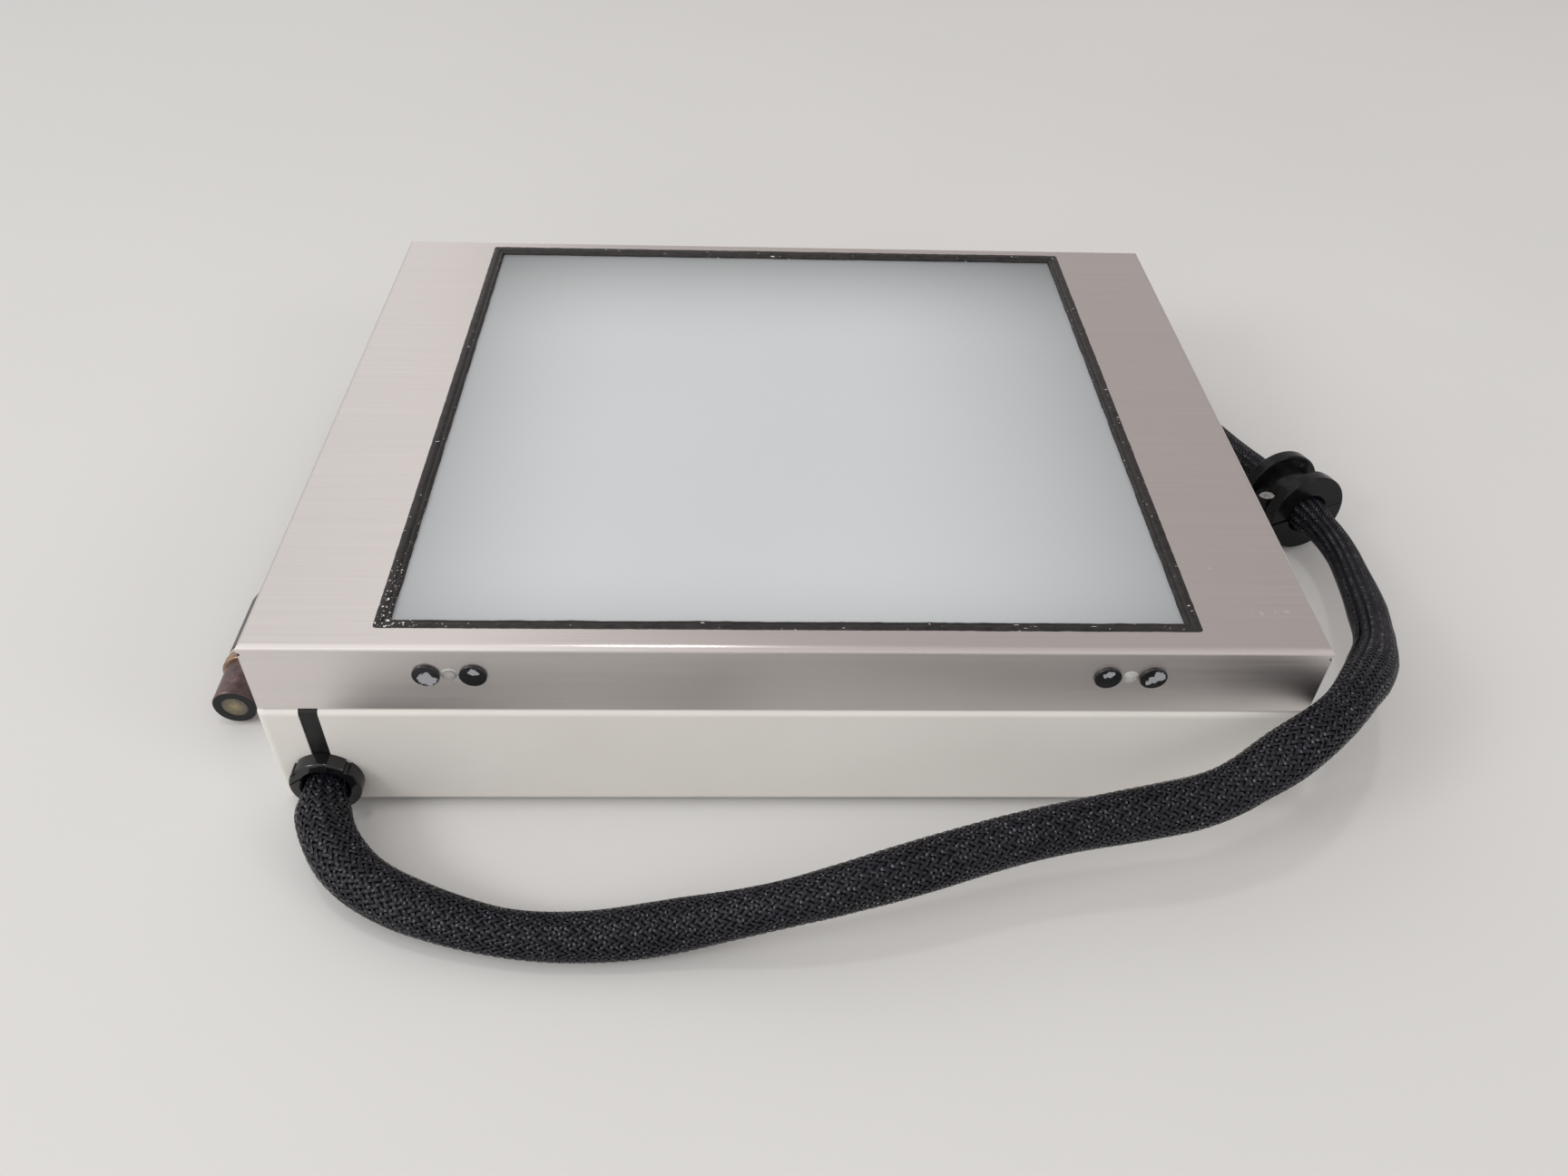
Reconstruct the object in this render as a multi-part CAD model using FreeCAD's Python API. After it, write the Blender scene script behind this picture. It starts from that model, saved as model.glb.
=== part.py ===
import FreeCAD, Part
import math
import os

# Fibre-lit light table: a folded steel base, a lift-off stainless cover with a sealed frosted window,
# and one braided fibre light guide with a split bushing and a bare ferrule.
# Millimetres, +Z up, front towards -Y. Origin: centre of the footprint, on the table.

V = FreeCAD.Vector
UP = V(0, 0, 1)
FRONT = V(0, -1, 0)
RIGHT = V(1, 0, 0)

# Cover
COVER_W = 350.0
COVER_D = 273.0
COVER_H = 28.6
COVER_SHEET = 1.5
COVER_BEND = 2.0
CORNER_SLIT = 0.4
SLIT_STOP = 3.5
SLIT_RELIEF_R = 0.8

# Base
BASE_STEP = 1.0
BASE_W = COVER_W + 2 * BASE_STEP
BASE_D = COVER_D + 2 * BASE_STEP
BASE_WALL_H = 46.7
BASE_SHEET = 1.5
BASE_BEND = 2.5
BASE_CORNER_R = 3.0
RIM_FLANGE = 12.0
FOOT_H = 3.0
FOOT_R = 9.0
FOOT_NECK_R = 3.0
FOOT_BULB_R = 4.2
FOOT_BULB_H = 3.0
FOOT_INSET_X = 26.0
FOOT_INSET_Y = 38.0

# Clearances
SEAT_GAP = 0.3
LOCATE_GAP = 0.4
HOLE_GAP = 0.1
CORD_GAP = 0.3

# Window
BORDER_X = 41.0
BORDER_Y = 7.3
CUTOUT_W = COVER_W - 2 * BORDER_X
CUTOUT_D = COVER_D - 2 * BORDER_Y
CUTOUT_R = 2.0
WINDOW_SHIFT_Y = 1.5
BEAD_W = 4.4
BEAD_PROUD = 0.3
BEAD_EDGE = 0.6
GLASS_LAP_X = 11.0
GLASS_LAP_Y = 3.5
GLASS_W = CUTOUT_W + 2 * GLASS_LAP_X
GLASS_D = CUTOUT_D + 2 * GLASS_LAP_Y
GLASS_T = 5.0
DIFFUSER_INSET = 1.0
DIFFUSER_T = 3.0

# Window rails, studs and nuts
RAIL_IN_LAP = 9.0
RAIL_W = 24.0
RAIL_T = 2.0
RAIL_LIP = 6.0
RAIL_END = 7.0
RAIL_L = GLASS_D - 2 * RAIL_END
STUD_R = 2.0
STUD_OUT = 7.0
STUD_END = 21.0
STUDS_PER_SIDE = 4
STUD_PITCH = (RAIL_L - 2 * STUD_END) / (STUDS_PER_SIDE - 1)
STUD_TAIL = 4.6
NUT_AF = 7.0
NUT_H = 3.2

# Magnets and bumpers on the front lip
LIP_DROP = 12.2
LIP_PITCH = 7.5
LEFT_GROUP_IN = 65.1
RIGHT_GROUP_IN = 64.4
LEFT_GROUP_X = LEFT_GROUP_IN - COVER_W / 2
RIGHT_GROUP_X = COVER_W / 2 - RIGHT_GROUP_IN
MAGNET_R = 4.5
MAGNET_T = 1.0
MAGNET_EDGE = 0.3
BUMPER_R = 2.7
BUMPER_T = 1.0

# Locating angles on the rim
ANGLE_LEG = 12.0
ANGLE_RISE = 10.5
ANGLE_T = 1.5
ANGLE_L = 30.0
ANGLE_IN = 60.0
ANGLE_X = COVER_W / 2 - ANGLE_IN
ANGLE_Y = COVER_D / 2 - ANGLE_IN

# Light guide
CORD_R = 7.5

# Front gland
GLAND_IN = 17.2
GLAND_X = GLAND_IN - BASE_W / 2
GLAND_Z = 16.2
GLAND_R = 12.2
GLAND_T = 5.2
GLAND_EDGE = 0.9
GLAND_HUB_R = 10.4
GLAND_BACK_R = 12.2
GLAND_BACK_T = 3.0
GLAND_SPLIT = -4.2
GLAND_SEAM = 0.2
MOUTH_FLARE = 1.5
GRIP_ANGLE = 38.0
GRIP_W = 0.5
GRIP_DEPTH = 0.6
GRIP_L = 6.5
NOTCH_R = 1.1
NOTCH_ANGLES = (44.0, 138.0)
RIB_W = 4.4
RIB_PROUD = 0.5

# Slot in the front wall and its strip
SLOT_W = 6.4
STRIP_SINK = 0.5
STRIP_LIP_W = 10.0
STRIP_LIP_T = 1.2

# Split bushing on the cord
BUSH_X = 233.4
BUSH_Y = 6.9
BUSH_Z = 20.35
BUSH_FRONT = V(BUSH_X, BUSH_Y, BUSH_Z)
BUSH_YAW = 16.0
BUSH_PITCH = 5.2
BUSH_ROLL = 9.2
BUSH_R = 18.1
BUSH_L = 24.6
BUSH_FLANGE_T = 5.6
BUSH_HUB_R = 12.4
BUSH_EDGE = 0.8
BUSH_SEAM = 0.3
LUG_X = 12.4
LUG_R = 4.6
LUG_H = 7.6
SCREW_R = 1.9
SCREW_HOLE_R = 2.2
SCREW_HEAD_R = 3.3
SCREW_HEAD_H = 3.2
SCREW_POCKET_R = 3.7
SCREW_SEAT = 3.0
SCREW_BITE = 6.2
HEX_KEY_R = 1.5
HEX_KEY_DEPTH = 1.8
SEAM_POCKET_W = 1.4
SEAM_POCKET_DEPTH = 1.0

# Ferrule at the cord's far end
FERRULE_X = -204.2
FERRULE_Z = 9.7
FERRULE_TIP_Y = -100.0
BARREL_R = 8.05
BARREL_L = 17.0
BARREL_WALL = 3.2
RIM_EDGE = 0.5
RING_R = 9.4
RING_L = 3.4
GROOVE_R = 8.4
GROOVE_L = 0.8
COLLAR_R = 9.0
COLLAR_L = 2.6
BOOT_R = 9.1
BOOT_END_Y = -42.0
BOOT_TAPER = 5.0
FACE_SINK = 0.3

# Reflector tray on its standoffs
TRAY_SIDE = 36.0
TRAY_END = 16.5
TRAY_W = BASE_W - 2 * TRAY_SIDE
TRAY_D = BASE_D - 2 * TRAY_END
TRAY_SHEET = 1.0
TRAY_FLOOR_Z = 16.0
TRAY_TOP_Z = 62.0
STANDOFF_AF = 7.0
STANDOFF_IN_X = 30.0
STANDOFF_IN_Y = 36.0
STANDOFF_X = TRAY_W / 2 - STANDOFF_IN_X
STANDOFF_Y = TRAY_D / 2 - STANDOFF_IN_Y
SMALL_SCREW_R = 1.45
SMALL_HEAD_R = 2.8
SMALL_HEAD_H = 1.8
SMALL_BITE = 6.0

# Line bars that fan the fibres out
BAR_W = 15.0
BAR_H = 14.0
BAR_END = 28.0
BAR_L = TRAY_D - 2 * BAR_END
BAR_Y = 8.0
BAR_BOTTOM = 33.0
BAR_TRAY_GAP = 3.5
LINE_END = 8.0
LINE_L = BAR_L - 2 * LINE_END
LINE_H = 2.4
LINE_DEPTH = 3.0
LINE_WINDOW = 3.0
SOCKET_R = 5.2
SOCKET_H = 3.0
LEG_R = 3.0
LEG_DEPTH = 3.0
BRACKET_IN = 15.0
BRACKET_Y = BAR_L / 2 - BRACKET_IN
BRACKET_FOOT = 12.0
BRACKET_T = 1.5

# Splitter and its clamp
BUNDLE_R = 7.5
BUNDLE_END = 11.5
BUNDLE_END_Y = BUNDLE_END - BASE_D / 2
SPLITTER_R = 8.3
SPLITTER_L = 22.0
SPLITTER_END_Y = BUNDLE_END_Y + SPLITTER_L
SPLITTER_W = 21.0
SPLITTER_T = 11.0
LEG_SPREAD = 5.2
LEG_LEAD = 9.0
CRADLE_W = 29.0
CRADLE_L = 9.0
CRADLE_IN = 10.0
CRADLE_Y = BUNDLE_END_Y + CRADLE_IN
STRAP_T = 1.2
LEG_FLOOR_GAP = 0.7
LEG_BEND_R = 22.0
LEG_STEPS = 12

# Worked out from the sizes above
FLOOR_Z = FOOT_H + BASE_SHEET
RIM_Z = FOOT_H + BASE_WALL_H
SKIRT_Z = RIM_Z + SEAT_GAP
TOP_Z = SKIRT_Z + COVER_H
UNDER_Z = TOP_Z - COVER_SHEET
GLASS_Z = UNDER_Z - GLASS_T
DIFFUSER_Z = GLASS_Z - DIFFUSER_T
RAIL_Z = DIFFUSER_Z - RAIL_T
FRONT_WALL_Y = -BASE_D / 2
BORE_R = CORD_R + CORD_GAP
CORD_START_Y = FRONT_WALL_Y + BASE_SHEET + GLAND_BACK_T
BAR_X = TRAY_W / 2 + BAR_TRAY_GAP + BAR_W / 2
BAR_TOP = BAR_BOTTOM + BAR_H
LINE_Z = BAR_BOTTOM + BAR_H / 2
HUB_HOLE_R = GLAND_HUB_R + HOLE_GAP


def box(x0, x1, y0, y1, z0, z1):
    return Part.makeBox(x1 - x0, y1 - y0, z1 - z0, V(x0, y0, z0))


def block(cx, cy, width, depth, z0, z1):
    return box(cx - width / 2, cx + width / 2, cy - depth / 2, cy + depth / 2, z0, z1)


def rod(start, axis, radius, length):
    return Part.makeCylinder(radius, length, start, axis)


def edges_where(shape, test):
    return [e for e in shape.Edges if test(e)]


def is_upright(edge):
    a, b = edge.Vertexes[0].Point, edge.Vertexes[-1].Point
    return abs(a.x - b.x) < 1e-6 and abs(a.y - b.y) < 1e-6 and abs(a.z - b.z) > 1e-6


def at_height(edge, z):
    return all(abs(v.Point.z - z) < 1e-6 for v in edge.Vertexes)


def round_block(cx, cy, width, depth, z0, z1, corner=0.0, top=0.0, bottom=0.0):
    """A block with rounded upright corners, top edges and bottom edges."""
    solid = block(cx, cy, width, depth, z0, z1)
    if corner:
        solid = solid.makeFillet(corner, edges_where(solid, is_upright))
    if top:
        solid = solid.makeFillet(top, edges_where(solid, lambda e: at_height(e, z1)))
    if bottom:
        solid = solid.makeFillet(bottom, edges_where(solid, lambda e: at_height(e, z0)))
    return solid


def ring_edges(shape, radius, z):
    """Circles of one radius at one local height."""
    found = []
    for e in shape.Edges:
        if isinstance(e.Curve, Part.Circle) and abs(e.Curve.Radius - radius) < 1e-6:
            if abs(e.Curve.Center.z - z) < 1e-6:
                found.append(e)
    return found


def hexagon(across_flats, z0, height, cx=0.0, cy=0.0):
    radius = across_flats / math.sqrt(3)
    corners = [V(cx + radius * math.cos(math.radians(60 * k)), cy + radius * math.sin(math.radians(60 * k)), z0)
               for k in range(7)]
    return Part.Face(Part.makePolygon(corners)).extrude(V(0, 0, height))


def place(shape, origin, forward, side):
    """Turns a shape from its own axes (side = x, forward = z) to the part's frame."""
    lift = forward.cross(side)
    turn = FreeCAD.Matrix(side.x, lift.x, forward.x, origin.x,
                          side.y, lift.y, forward.y, origin.y,
                          side.z, lift.z, forward.z, origin.z,
                          0, 0, 0, 1)
    return shape.transformed(turn)


def cord_path(points):
    """Straight runs joined by tangent arcs; returns the wire and the arcs' radii."""
    edges = []
    radii = []
    start = points[0]
    for before, corner, after in zip(points, points[1:], points[2:]):
        arriving = (corner - before).normalize()
        leaving = (after - corner).normalize()
        turn = arriving.getAngle(leaving)
        reach = 0.45 * min(corner.distanceToPoint(before), after.distanceToPoint(corner))
        radius = reach / math.tan(turn / 2)
        entry = corner - arriving * reach
        leave = corner + leaving * reach
        inward = (leaving - arriving).normalize()
        centre = corner + inward * (radius / math.cos(turn / 2))
        middle = centre - inward * radius
        edges.append(Part.LineSegment(start, entry).toShape())
        edges.append(Part.Arc(entry, middle, leave).toShape())
        radii.append(radius)
        start = leave
    edges.append(Part.LineSegment(start, points[-1]).toShape())
    return Part.Wire(edges), radii


def cord_tube(points, radius, label):
    path, radii = cord_path(points)
    ahead = points[1] - points[0]
    section = Part.Wire(Part.makeCircle(radius, points[0], ahead))
    solid = path.makePipeShell([section], True, False)
    share = solid.Volume / (math.pi * radius ** 2 * path.Length)
    print(label, "length", round(path.Length, 1), "volume share", round(share, 4),
          "radii", [round(r, 1) for r in radii])
    return solid


def screw(axis_x, axis_y, seat_z, bite, head_up=True):
    """A small pan-head screw: head on its seat, shank away from it."""
    way = 1 if head_up else -1
    head = rod(V(axis_x, axis_y, seat_z), V(0, 0, way), SMALL_HEAD_R, SMALL_HEAD_H)
    crown = SMALL_HEAD_H * way + seat_z
    head = head.makeFillet(0.6, edges_where(head, lambda e: at_height(e, crown)))
    slot = block(axis_x, axis_y, 2 * SMALL_HEAD_R + 1, 0.7, crown - 0.7, crown + 0.7)
    shank = rod(V(axis_x, axis_y, seat_z), V(0, 0, -way), SMALL_SCREW_R, bite)
    return head.cut(slot).fuse(shank).removeSplitter()


def cover_shell():
    outer = round_block(0, 0, COVER_W, COVER_D, SKIRT_Z, TOP_Z, top=COVER_BEND)
    hollow = round_block(0, 0, COVER_W - 2 * COVER_SHEET, COVER_D - 2 * COVER_SHEET,
                         SKIRT_Z - COVER_BEND, UNDER_Z, top=COVER_BEND - COVER_SHEET)
    shell = outer.cut(hollow)
    window = round_block(0, WINDOW_SHIFT_Y, CUTOUT_W, CUTOUT_D, UNDER_Z - 1, TOP_Z + 1, corner=CUTOUT_R)
    shell = shell.cut(window)
    slit_top = TOP_Z - SLIT_STOP
    for sx in (-1, 1):
        for sy in (-1, 1):
            corner = V(sx * COVER_W / 2, sy * COVER_D / 2, 0)
            slit = block(0, 0, 4 * COVER_SHEET, CORNER_SLIT, SKIRT_Z - 1, slit_top)
            relief = rod(V(-2 * COVER_SHEET, 0, slit_top), RIGHT, SLIT_RELIEF_R, 4 * COVER_SHEET)
            gap = slit.fuse(relief)
            gap.rotate(V(0, 0, 0), UP, 45 if sx == sy else -45)
            gap.translate(corner)
            shell = shell.cut(gap)
    return shell


def window_panel():
    return round_block(0, WINDOW_SHIFT_Y, GLASS_W, GLASS_D, GLASS_Z, UNDER_Z, corner=1.0)


def window_bead():
    ring = round_block(0, WINDOW_SHIFT_Y, CUTOUT_W, CUTOUT_D, UNDER_Z, TOP_Z + BEAD_PROUD, corner=CUTOUT_R)
    inner_w = CUTOUT_W - 2 * BEAD_W
    inner_d = CUTOUT_D - 2 * BEAD_W
    hole = block(0, WINDOW_SHIFT_Y, inner_w, inner_d, UNDER_Z - 1, TOP_Z + 1)
    ring = ring.cut(hole)
    lift = TOP_Z + BEAD_PROUD
    half_w = inner_w / 2 + 0.01
    half_d = inner_d / 2 + 0.01
    inner = edges_where(ring, lambda e: at_height(e, lift)
                        and all(abs(v.Point.x) < half_w and abs(v.Point.y - WINDOW_SHIFT_Y) < half_d
                                for v in e.Vertexes))
    return ring.makeFillet(BEAD_EDGE, inner)


def diffuser_panel():
    return round_block(0, WINDOW_SHIFT_Y, GLASS_W - 2 * DIFFUSER_INSET, GLASS_D - 2 * DIFFUSER_INSET,
                       DIFFUSER_Z, GLASS_Z, corner=1.0)


def stud_places():
    x = GLASS_W / 2 + STUD_OUT
    start = -STUD_PITCH * (STUDS_PER_SIDE - 1) / 2
    return [(side * x, WINDOW_SHIFT_Y + start + k * STUD_PITCH) for side in (-1, 1) for k in range(STUDS_PER_SIDE)]


def window_rails():
    rails = []
    inner_x = GLASS_W / 2 - RAIL_IN_LAP
    for side in (-1, 1):
        cx = side * (inner_x + RAIL_W / 2)
        flat = block(cx, WINDOW_SHIFT_Y, RAIL_W, RAIL_L, RAIL_Z, DIFFUSER_Z)
        lip_x = side * (inner_x + RAIL_W - RAIL_T / 2)
        lip = block(lip_x, WINDOW_SHIFT_Y, RAIL_T, RAIL_L, DIFFUSER_Z, DIFFUSER_Z + RAIL_LIP)
        rail = flat.fuse(lip).removeSplitter()
        for x, y in stud_places():
            if x * side > 0:
                rail = rail.cut(rod(V(x, y, RAIL_Z - 1), UP, STUD_R + HOLE_GAP, RAIL_T + 2))
        rails.append(rail)
    return rails


def window_studs():
    low = RAIL_Z - STUD_TAIL
    return [rod(V(x, y, low), UP, STUD_R, UNDER_Z - low) for x, y in stud_places()]


def window_nuts():
    low = RAIL_Z - NUT_H
    return [hexagon(NUT_AF, low, NUT_H, x, y).cut(rod(V(x, y, low - 1), UP, STUD_R, NUT_H + 2))
            for x, y in stud_places()]


def lip_magnets():
    discs = []
    z = TOP_Z - LIP_DROP
    for group in (LEFT_GROUP_X, RIGHT_GROUP_X):
        for side in (-1, 1):
            disc = rod(V(0, 0, 0), UP, MAGNET_R, MAGNET_T)
            disc = disc.makeFillet(MAGNET_EDGE, ring_edges(disc, MAGNET_R, MAGNET_T))
            discs.append(place(disc, V(group + side * LIP_PITCH, -COVER_D / 2, z), FRONT, RIGHT))
    return discs


def lip_bumpers():
    domes = []
    z = TOP_Z - LIP_DROP
    radius = (BUMPER_R ** 2 + BUMPER_T ** 2) / (2 * BUMPER_T)
    ball = Part.makeSphere(radius, V(0, 0, BUMPER_T - radius))
    dome = ball.common(rod(V(0, 0, 0), UP, BUMPER_R + 1, BUMPER_T + 1))
    for group in (LEFT_GROUP_X, RIGHT_GROUP_X):
        domes.append(place(dome, V(group, -COVER_D / 2, z), FRONT, RIGHT))
    return domes


def tray_form(sink):
    """The base's folded tray before its slot, its outside drawn in by sink."""
    outer = round_block(0, 0, BASE_W - 2 * sink, BASE_D - 2 * sink, FOOT_H + sink, RIM_Z - sink,
                        corner=BASE_CORNER_R - sink, top=BASE_BEND - sink, bottom=BASE_BEND - sink)
    inner = round_block(0, 0, BASE_W - 2 * BASE_SHEET, BASE_D - 2 * BASE_SHEET, FLOOR_Z, RIM_Z - BASE_SHEET,
                        corner=BASE_CORNER_R - BASE_SHEET, top=BASE_BEND - BASE_SHEET,
                        bottom=BASE_BEND - BASE_SHEET)
    mouth = round_block(0, 0, BASE_W - 2 * RIM_FLANGE, BASE_D - 2 * RIM_FLANGE, FLOOR_Z + 10, RIM_Z + 1,
                        corner=BASE_CORNER_R)
    return outer.cut(inner).cut(mouth)


def slot_box(width, low):
    return box(GLAND_X - width / 2, GLAND_X + width / 2, FRONT_WALL_Y - 1, FRONT_WALL_Y + RIM_FLANGE + 1,
               low, RIM_Z + 1)


def foot_places():
    x = BASE_W / 2 - FOOT_INSET_X
    y = BASE_D / 2 - FOOT_INSET_Y
    return [(sx * x, sy * y) for sx in (-1, 1) for sy in (-1, 1)]


def base_tray():
    tray = tray_form(0.0)
    tray = tray.cut(slot_box(SLOT_W, GLAND_Z))
    tray = tray.cut(rod(V(GLAND_X, FRONT_WALL_Y - 1, GLAND_Z), V(0, 1, 0), HUB_HOLE_R, BASE_SHEET + 2))
    for x, y in foot_places():
        tray = tray.cut(rod(V(x, y, FOOT_H - 1), UP, FOOT_NECK_R + HOLE_GAP, BASE_SHEET + 2))
    return tray


def rubber_feet():
    feet = []
    for x, y in foot_places():
        pad = rod(V(x, y, 0), UP, FOOT_R, FOOT_H)
        pad = pad.makeFillet(0.8, ring_edges(pad, FOOT_R, 0))
        neck = rod(V(x, y, FOOT_H), UP, FOOT_NECK_R, BASE_SHEET)
        bulb = Part.makeCone(FOOT_BULB_R, FOOT_NECK_R - 1, FOOT_BULB_H, V(x, y, FLOOR_Z), UP)
        feet.append(pad.fuse([neck, bulb]))
    return feet


def slot_strip():
    low = GLAND_Z + HUB_HOLE_R + HOLE_GAP
    web = tray_form(STRIP_SINK).common(slot_box(SLOT_W - 2 * HOLE_GAP, low))
    inner_y = FRONT_WALL_Y + BASE_SHEET
    lip = box(GLAND_X - STRIP_LIP_W / 2, GLAND_X + STRIP_LIP_W / 2, inner_y, inner_y + STRIP_LIP_T,
              low + GLAND_T, RIM_Z - BASE_SHEET - BASE_BEND)
    return web.fuse(lip).removeSplitter()


def locating_angles():
    angles = []
    skirt_x = COVER_W / 2 - COVER_SHEET - LOCATE_GAP
    skirt_y = COVER_D / 2 - COVER_SHEET - LOCATE_GAP

    def angle(along_y, side, place_along):
        reach = skirt_x if along_y else skirt_y
        foot = box(reach - ANGLE_LEG, reach, -ANGLE_L / 2, ANGLE_L / 2, RIM_Z, RIM_Z + ANGLE_T)
        leg = box(reach - ANGLE_T, reach, -ANGLE_L / 2, ANGLE_L / 2, RIM_Z, RIM_Z + ANGLE_RISE)
        solid = foot.fuse(leg).removeSplitter()
        bend = edges_where(solid, lambda e: abs(e.Vertexes[0].Point.x - reach + ANGLE_T) < 1e-6
                           and abs(e.Vertexes[-1].Point.x - reach + ANGLE_T) < 1e-6
                           and at_height(e, RIM_Z + ANGLE_T))
        solid = solid.makeFillet(ANGLE_T / 2, bend)
        solid.rotate(V(0, 0, 0), UP, (0 if side > 0 else 180) + (0 if along_y else 90))
        solid.translate(V(0, place_along, 0) if along_y else V(place_along, 0, 0))
        return solid

    for side in (-1, 1):
        for along in (-1, 1):
            angles.append(angle(True, side, along * ANGLE_Y))
            angles.append(angle(False, side, along * ANGLE_X))
    return angles


def gland_form():
    """The whole front bushing in its own axes: local z out of the wall, z = 0 on the wall's outer face."""
    back_z = -BASE_SHEET
    flange = rod(V(0, 0, 0), UP, GLAND_R, GLAND_T)
    flange = flange.makeFillet(GLAND_EDGE, ring_edges(flange, GLAND_R, GLAND_T))
    hub = rod(V(0, 0, back_z), UP, GLAND_HUB_R, BASE_SHEET)
    back = rod(V(0, 0, back_z), V(0, 0, -1), GLAND_BACK_R, GLAND_BACK_T)
    floor_cut = block(0, 0, 4 * GLAND_R, 4 * GLAND_R, -40, back_z)
    inner_bend = BASE_BEND - BASE_SHEET
    floor_cut.translate(V(0, -2 * GLAND_R - (GLAND_Z - FLOOR_Z) + inner_bend + HOLE_GAP, 0))
    form = flange.fuse([hub, back.cut(floor_cut)])
    rib = Part.Face(Part.makePolygon([V(-RIB_W / 2, 0, 0), V(RIB_W / 2, 0, 0), V(SLOT_W / 2, GLAND_R, 0),
                                      V(-SLOT_W / 2, GLAND_R, 0), V(-RIB_W / 2, 0, 0)]))
    rib = rib.extrude(V(0, 0, GLAND_T + RIB_PROUD)).common(rod(V(0, 0, 0), UP, GLAND_R - 0.4, GLAND_T + 1))
    form = form.fuse(rib)
    bore = rod(V(0, 0, -20), UP, BORE_R, 40)
    flare = Part.makeCone(BORE_R, BORE_R + 2 * MOUTH_FLARE, 2 * MOUTH_FLARE,
                          V(0, 0, GLAND_T + RIB_PROUD - MOUTH_FLARE), UP)
    form = form.cut(bore).cut(flare)
    for angle in NOTCH_ANGLES:
        at = V(GLAND_R * math.cos(math.radians(angle)), GLAND_R * math.sin(math.radians(angle)), -0.5)
        form = form.cut(rod(at, UP, NOTCH_R, GLAND_T + 2))
    for across in (1.0, 4.4):
        groove = box(0, GRIP_L, -GRIP_W / 2, GRIP_W / 2, GLAND_T - GRIP_DEPTH, GLAND_T + 1)
        groove.rotate(V(0, 0, 0), UP, GRIP_ANGLE)
        groove.translate(V(-GLAND_R - 0.2, across, 0))
        form = form.cut(groove)
    return form.removeSplitter()


def gland_halves():
    form = gland_form()
    cap_zone = block(0, 0, 4 * GLAND_R, 4 * GLAND_R, -40, 40)
    cap_zone.translate(V(0, 2 * GLAND_R + GLAND_SPLIT + GLAND_SEAM / 2, 0))
    saddle_zone = block(0, 0, 4 * GLAND_R, 4 * GLAND_R, -40, 40)
    saddle_zone.translate(V(0, -2 * GLAND_R + GLAND_SPLIT - GLAND_SEAM / 2, 0))
    at = V(GLAND_X, FRONT_WALL_Y, GLAND_Z)
    return [place(form.common(zone), at, FRONT, RIGHT) for zone in (cap_zone, saddle_zone)]


def bush_axes():
    """Forward, side and lift of the bushing on the cord, with its seam rolled."""
    yaw = math.radians(BUSH_YAW)
    pitch = math.radians(BUSH_PITCH)
    roll = math.radians(BUSH_ROLL)
    forward = V(math.sin(yaw) * math.cos(pitch), -math.cos(yaw) * math.cos(pitch), math.sin(pitch))
    level = V(math.cos(yaw), math.sin(yaw), 0)
    lift = forward.cross(level)
    return forward, level * math.cos(roll) + lift * math.sin(roll)


def bushing_form():
    """Two flanges, a hub with two screw lugs and the bore; local z forward, front face at z = 0."""
    back = -BUSH_L
    front_flange = rod(V(0, 0, -BUSH_FLANGE_T), UP, BUSH_R, BUSH_FLANGE_T)
    rear_flange = rod(V(0, 0, back), UP, BUSH_R, BUSH_FLANGE_T)
    rings = []
    for flange, low in ((front_flange, -BUSH_FLANGE_T), (rear_flange, back)):
        edges = ring_edges(flange, BUSH_R, low) + ring_edges(flange, BUSH_R, low + BUSH_FLANGE_T)
        rings.append(flange.makeFillet(BUSH_EDGE, edges))
    hub = rod(V(0, 0, back + BUSH_FLANGE_T), UP, BUSH_HUB_R, BUSH_L - 2 * BUSH_FLANGE_T)
    middle = back / 2
    lugs = []
    for side in (-1, 1):
        post = rod(V(side * LUG_X, -LUG_H, middle), V(0, 1, 0), LUG_R, 2 * LUG_H)
        web = box(min(0, side * LUG_X), max(0, side * LUG_X), -LUG_H, LUG_H, middle - LUG_R, middle + LUG_R)
        lugs += [post, web]
    form = rings[0].fuse([rings[1], hub] + lugs).removeSplitter()
    form = form.cut(rod(V(0, 0, back - 1), UP, BORE_R, BUSH_L + 2))
    bell = MOUTH_FLARE
    form = form.cut(Part.makeCone(BORE_R, BORE_R + 2 * bell, 2 * bell, V(0, 0, -bell), UP))
    form = form.cut(Part.makeCone(BORE_R, BORE_R + 2 * bell, 2 * bell, V(0, 0, back + bell), V(0, 0, -1)))
    pocket = box(-BUSH_R - 1, -BORE_R, -SEAM_POCKET_W / 2, SEAM_POCKET_W / 2, -SEAM_POCKET_DEPTH, 1)
    notch = box(BUSH_R - 2.6, BUSH_R + 1, 0.6, 3.4, back + BUSH_FLANGE_T - 2.4, back + BUSH_FLANGE_T + 1)
    return form.cut(pocket).cut(notch)


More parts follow.
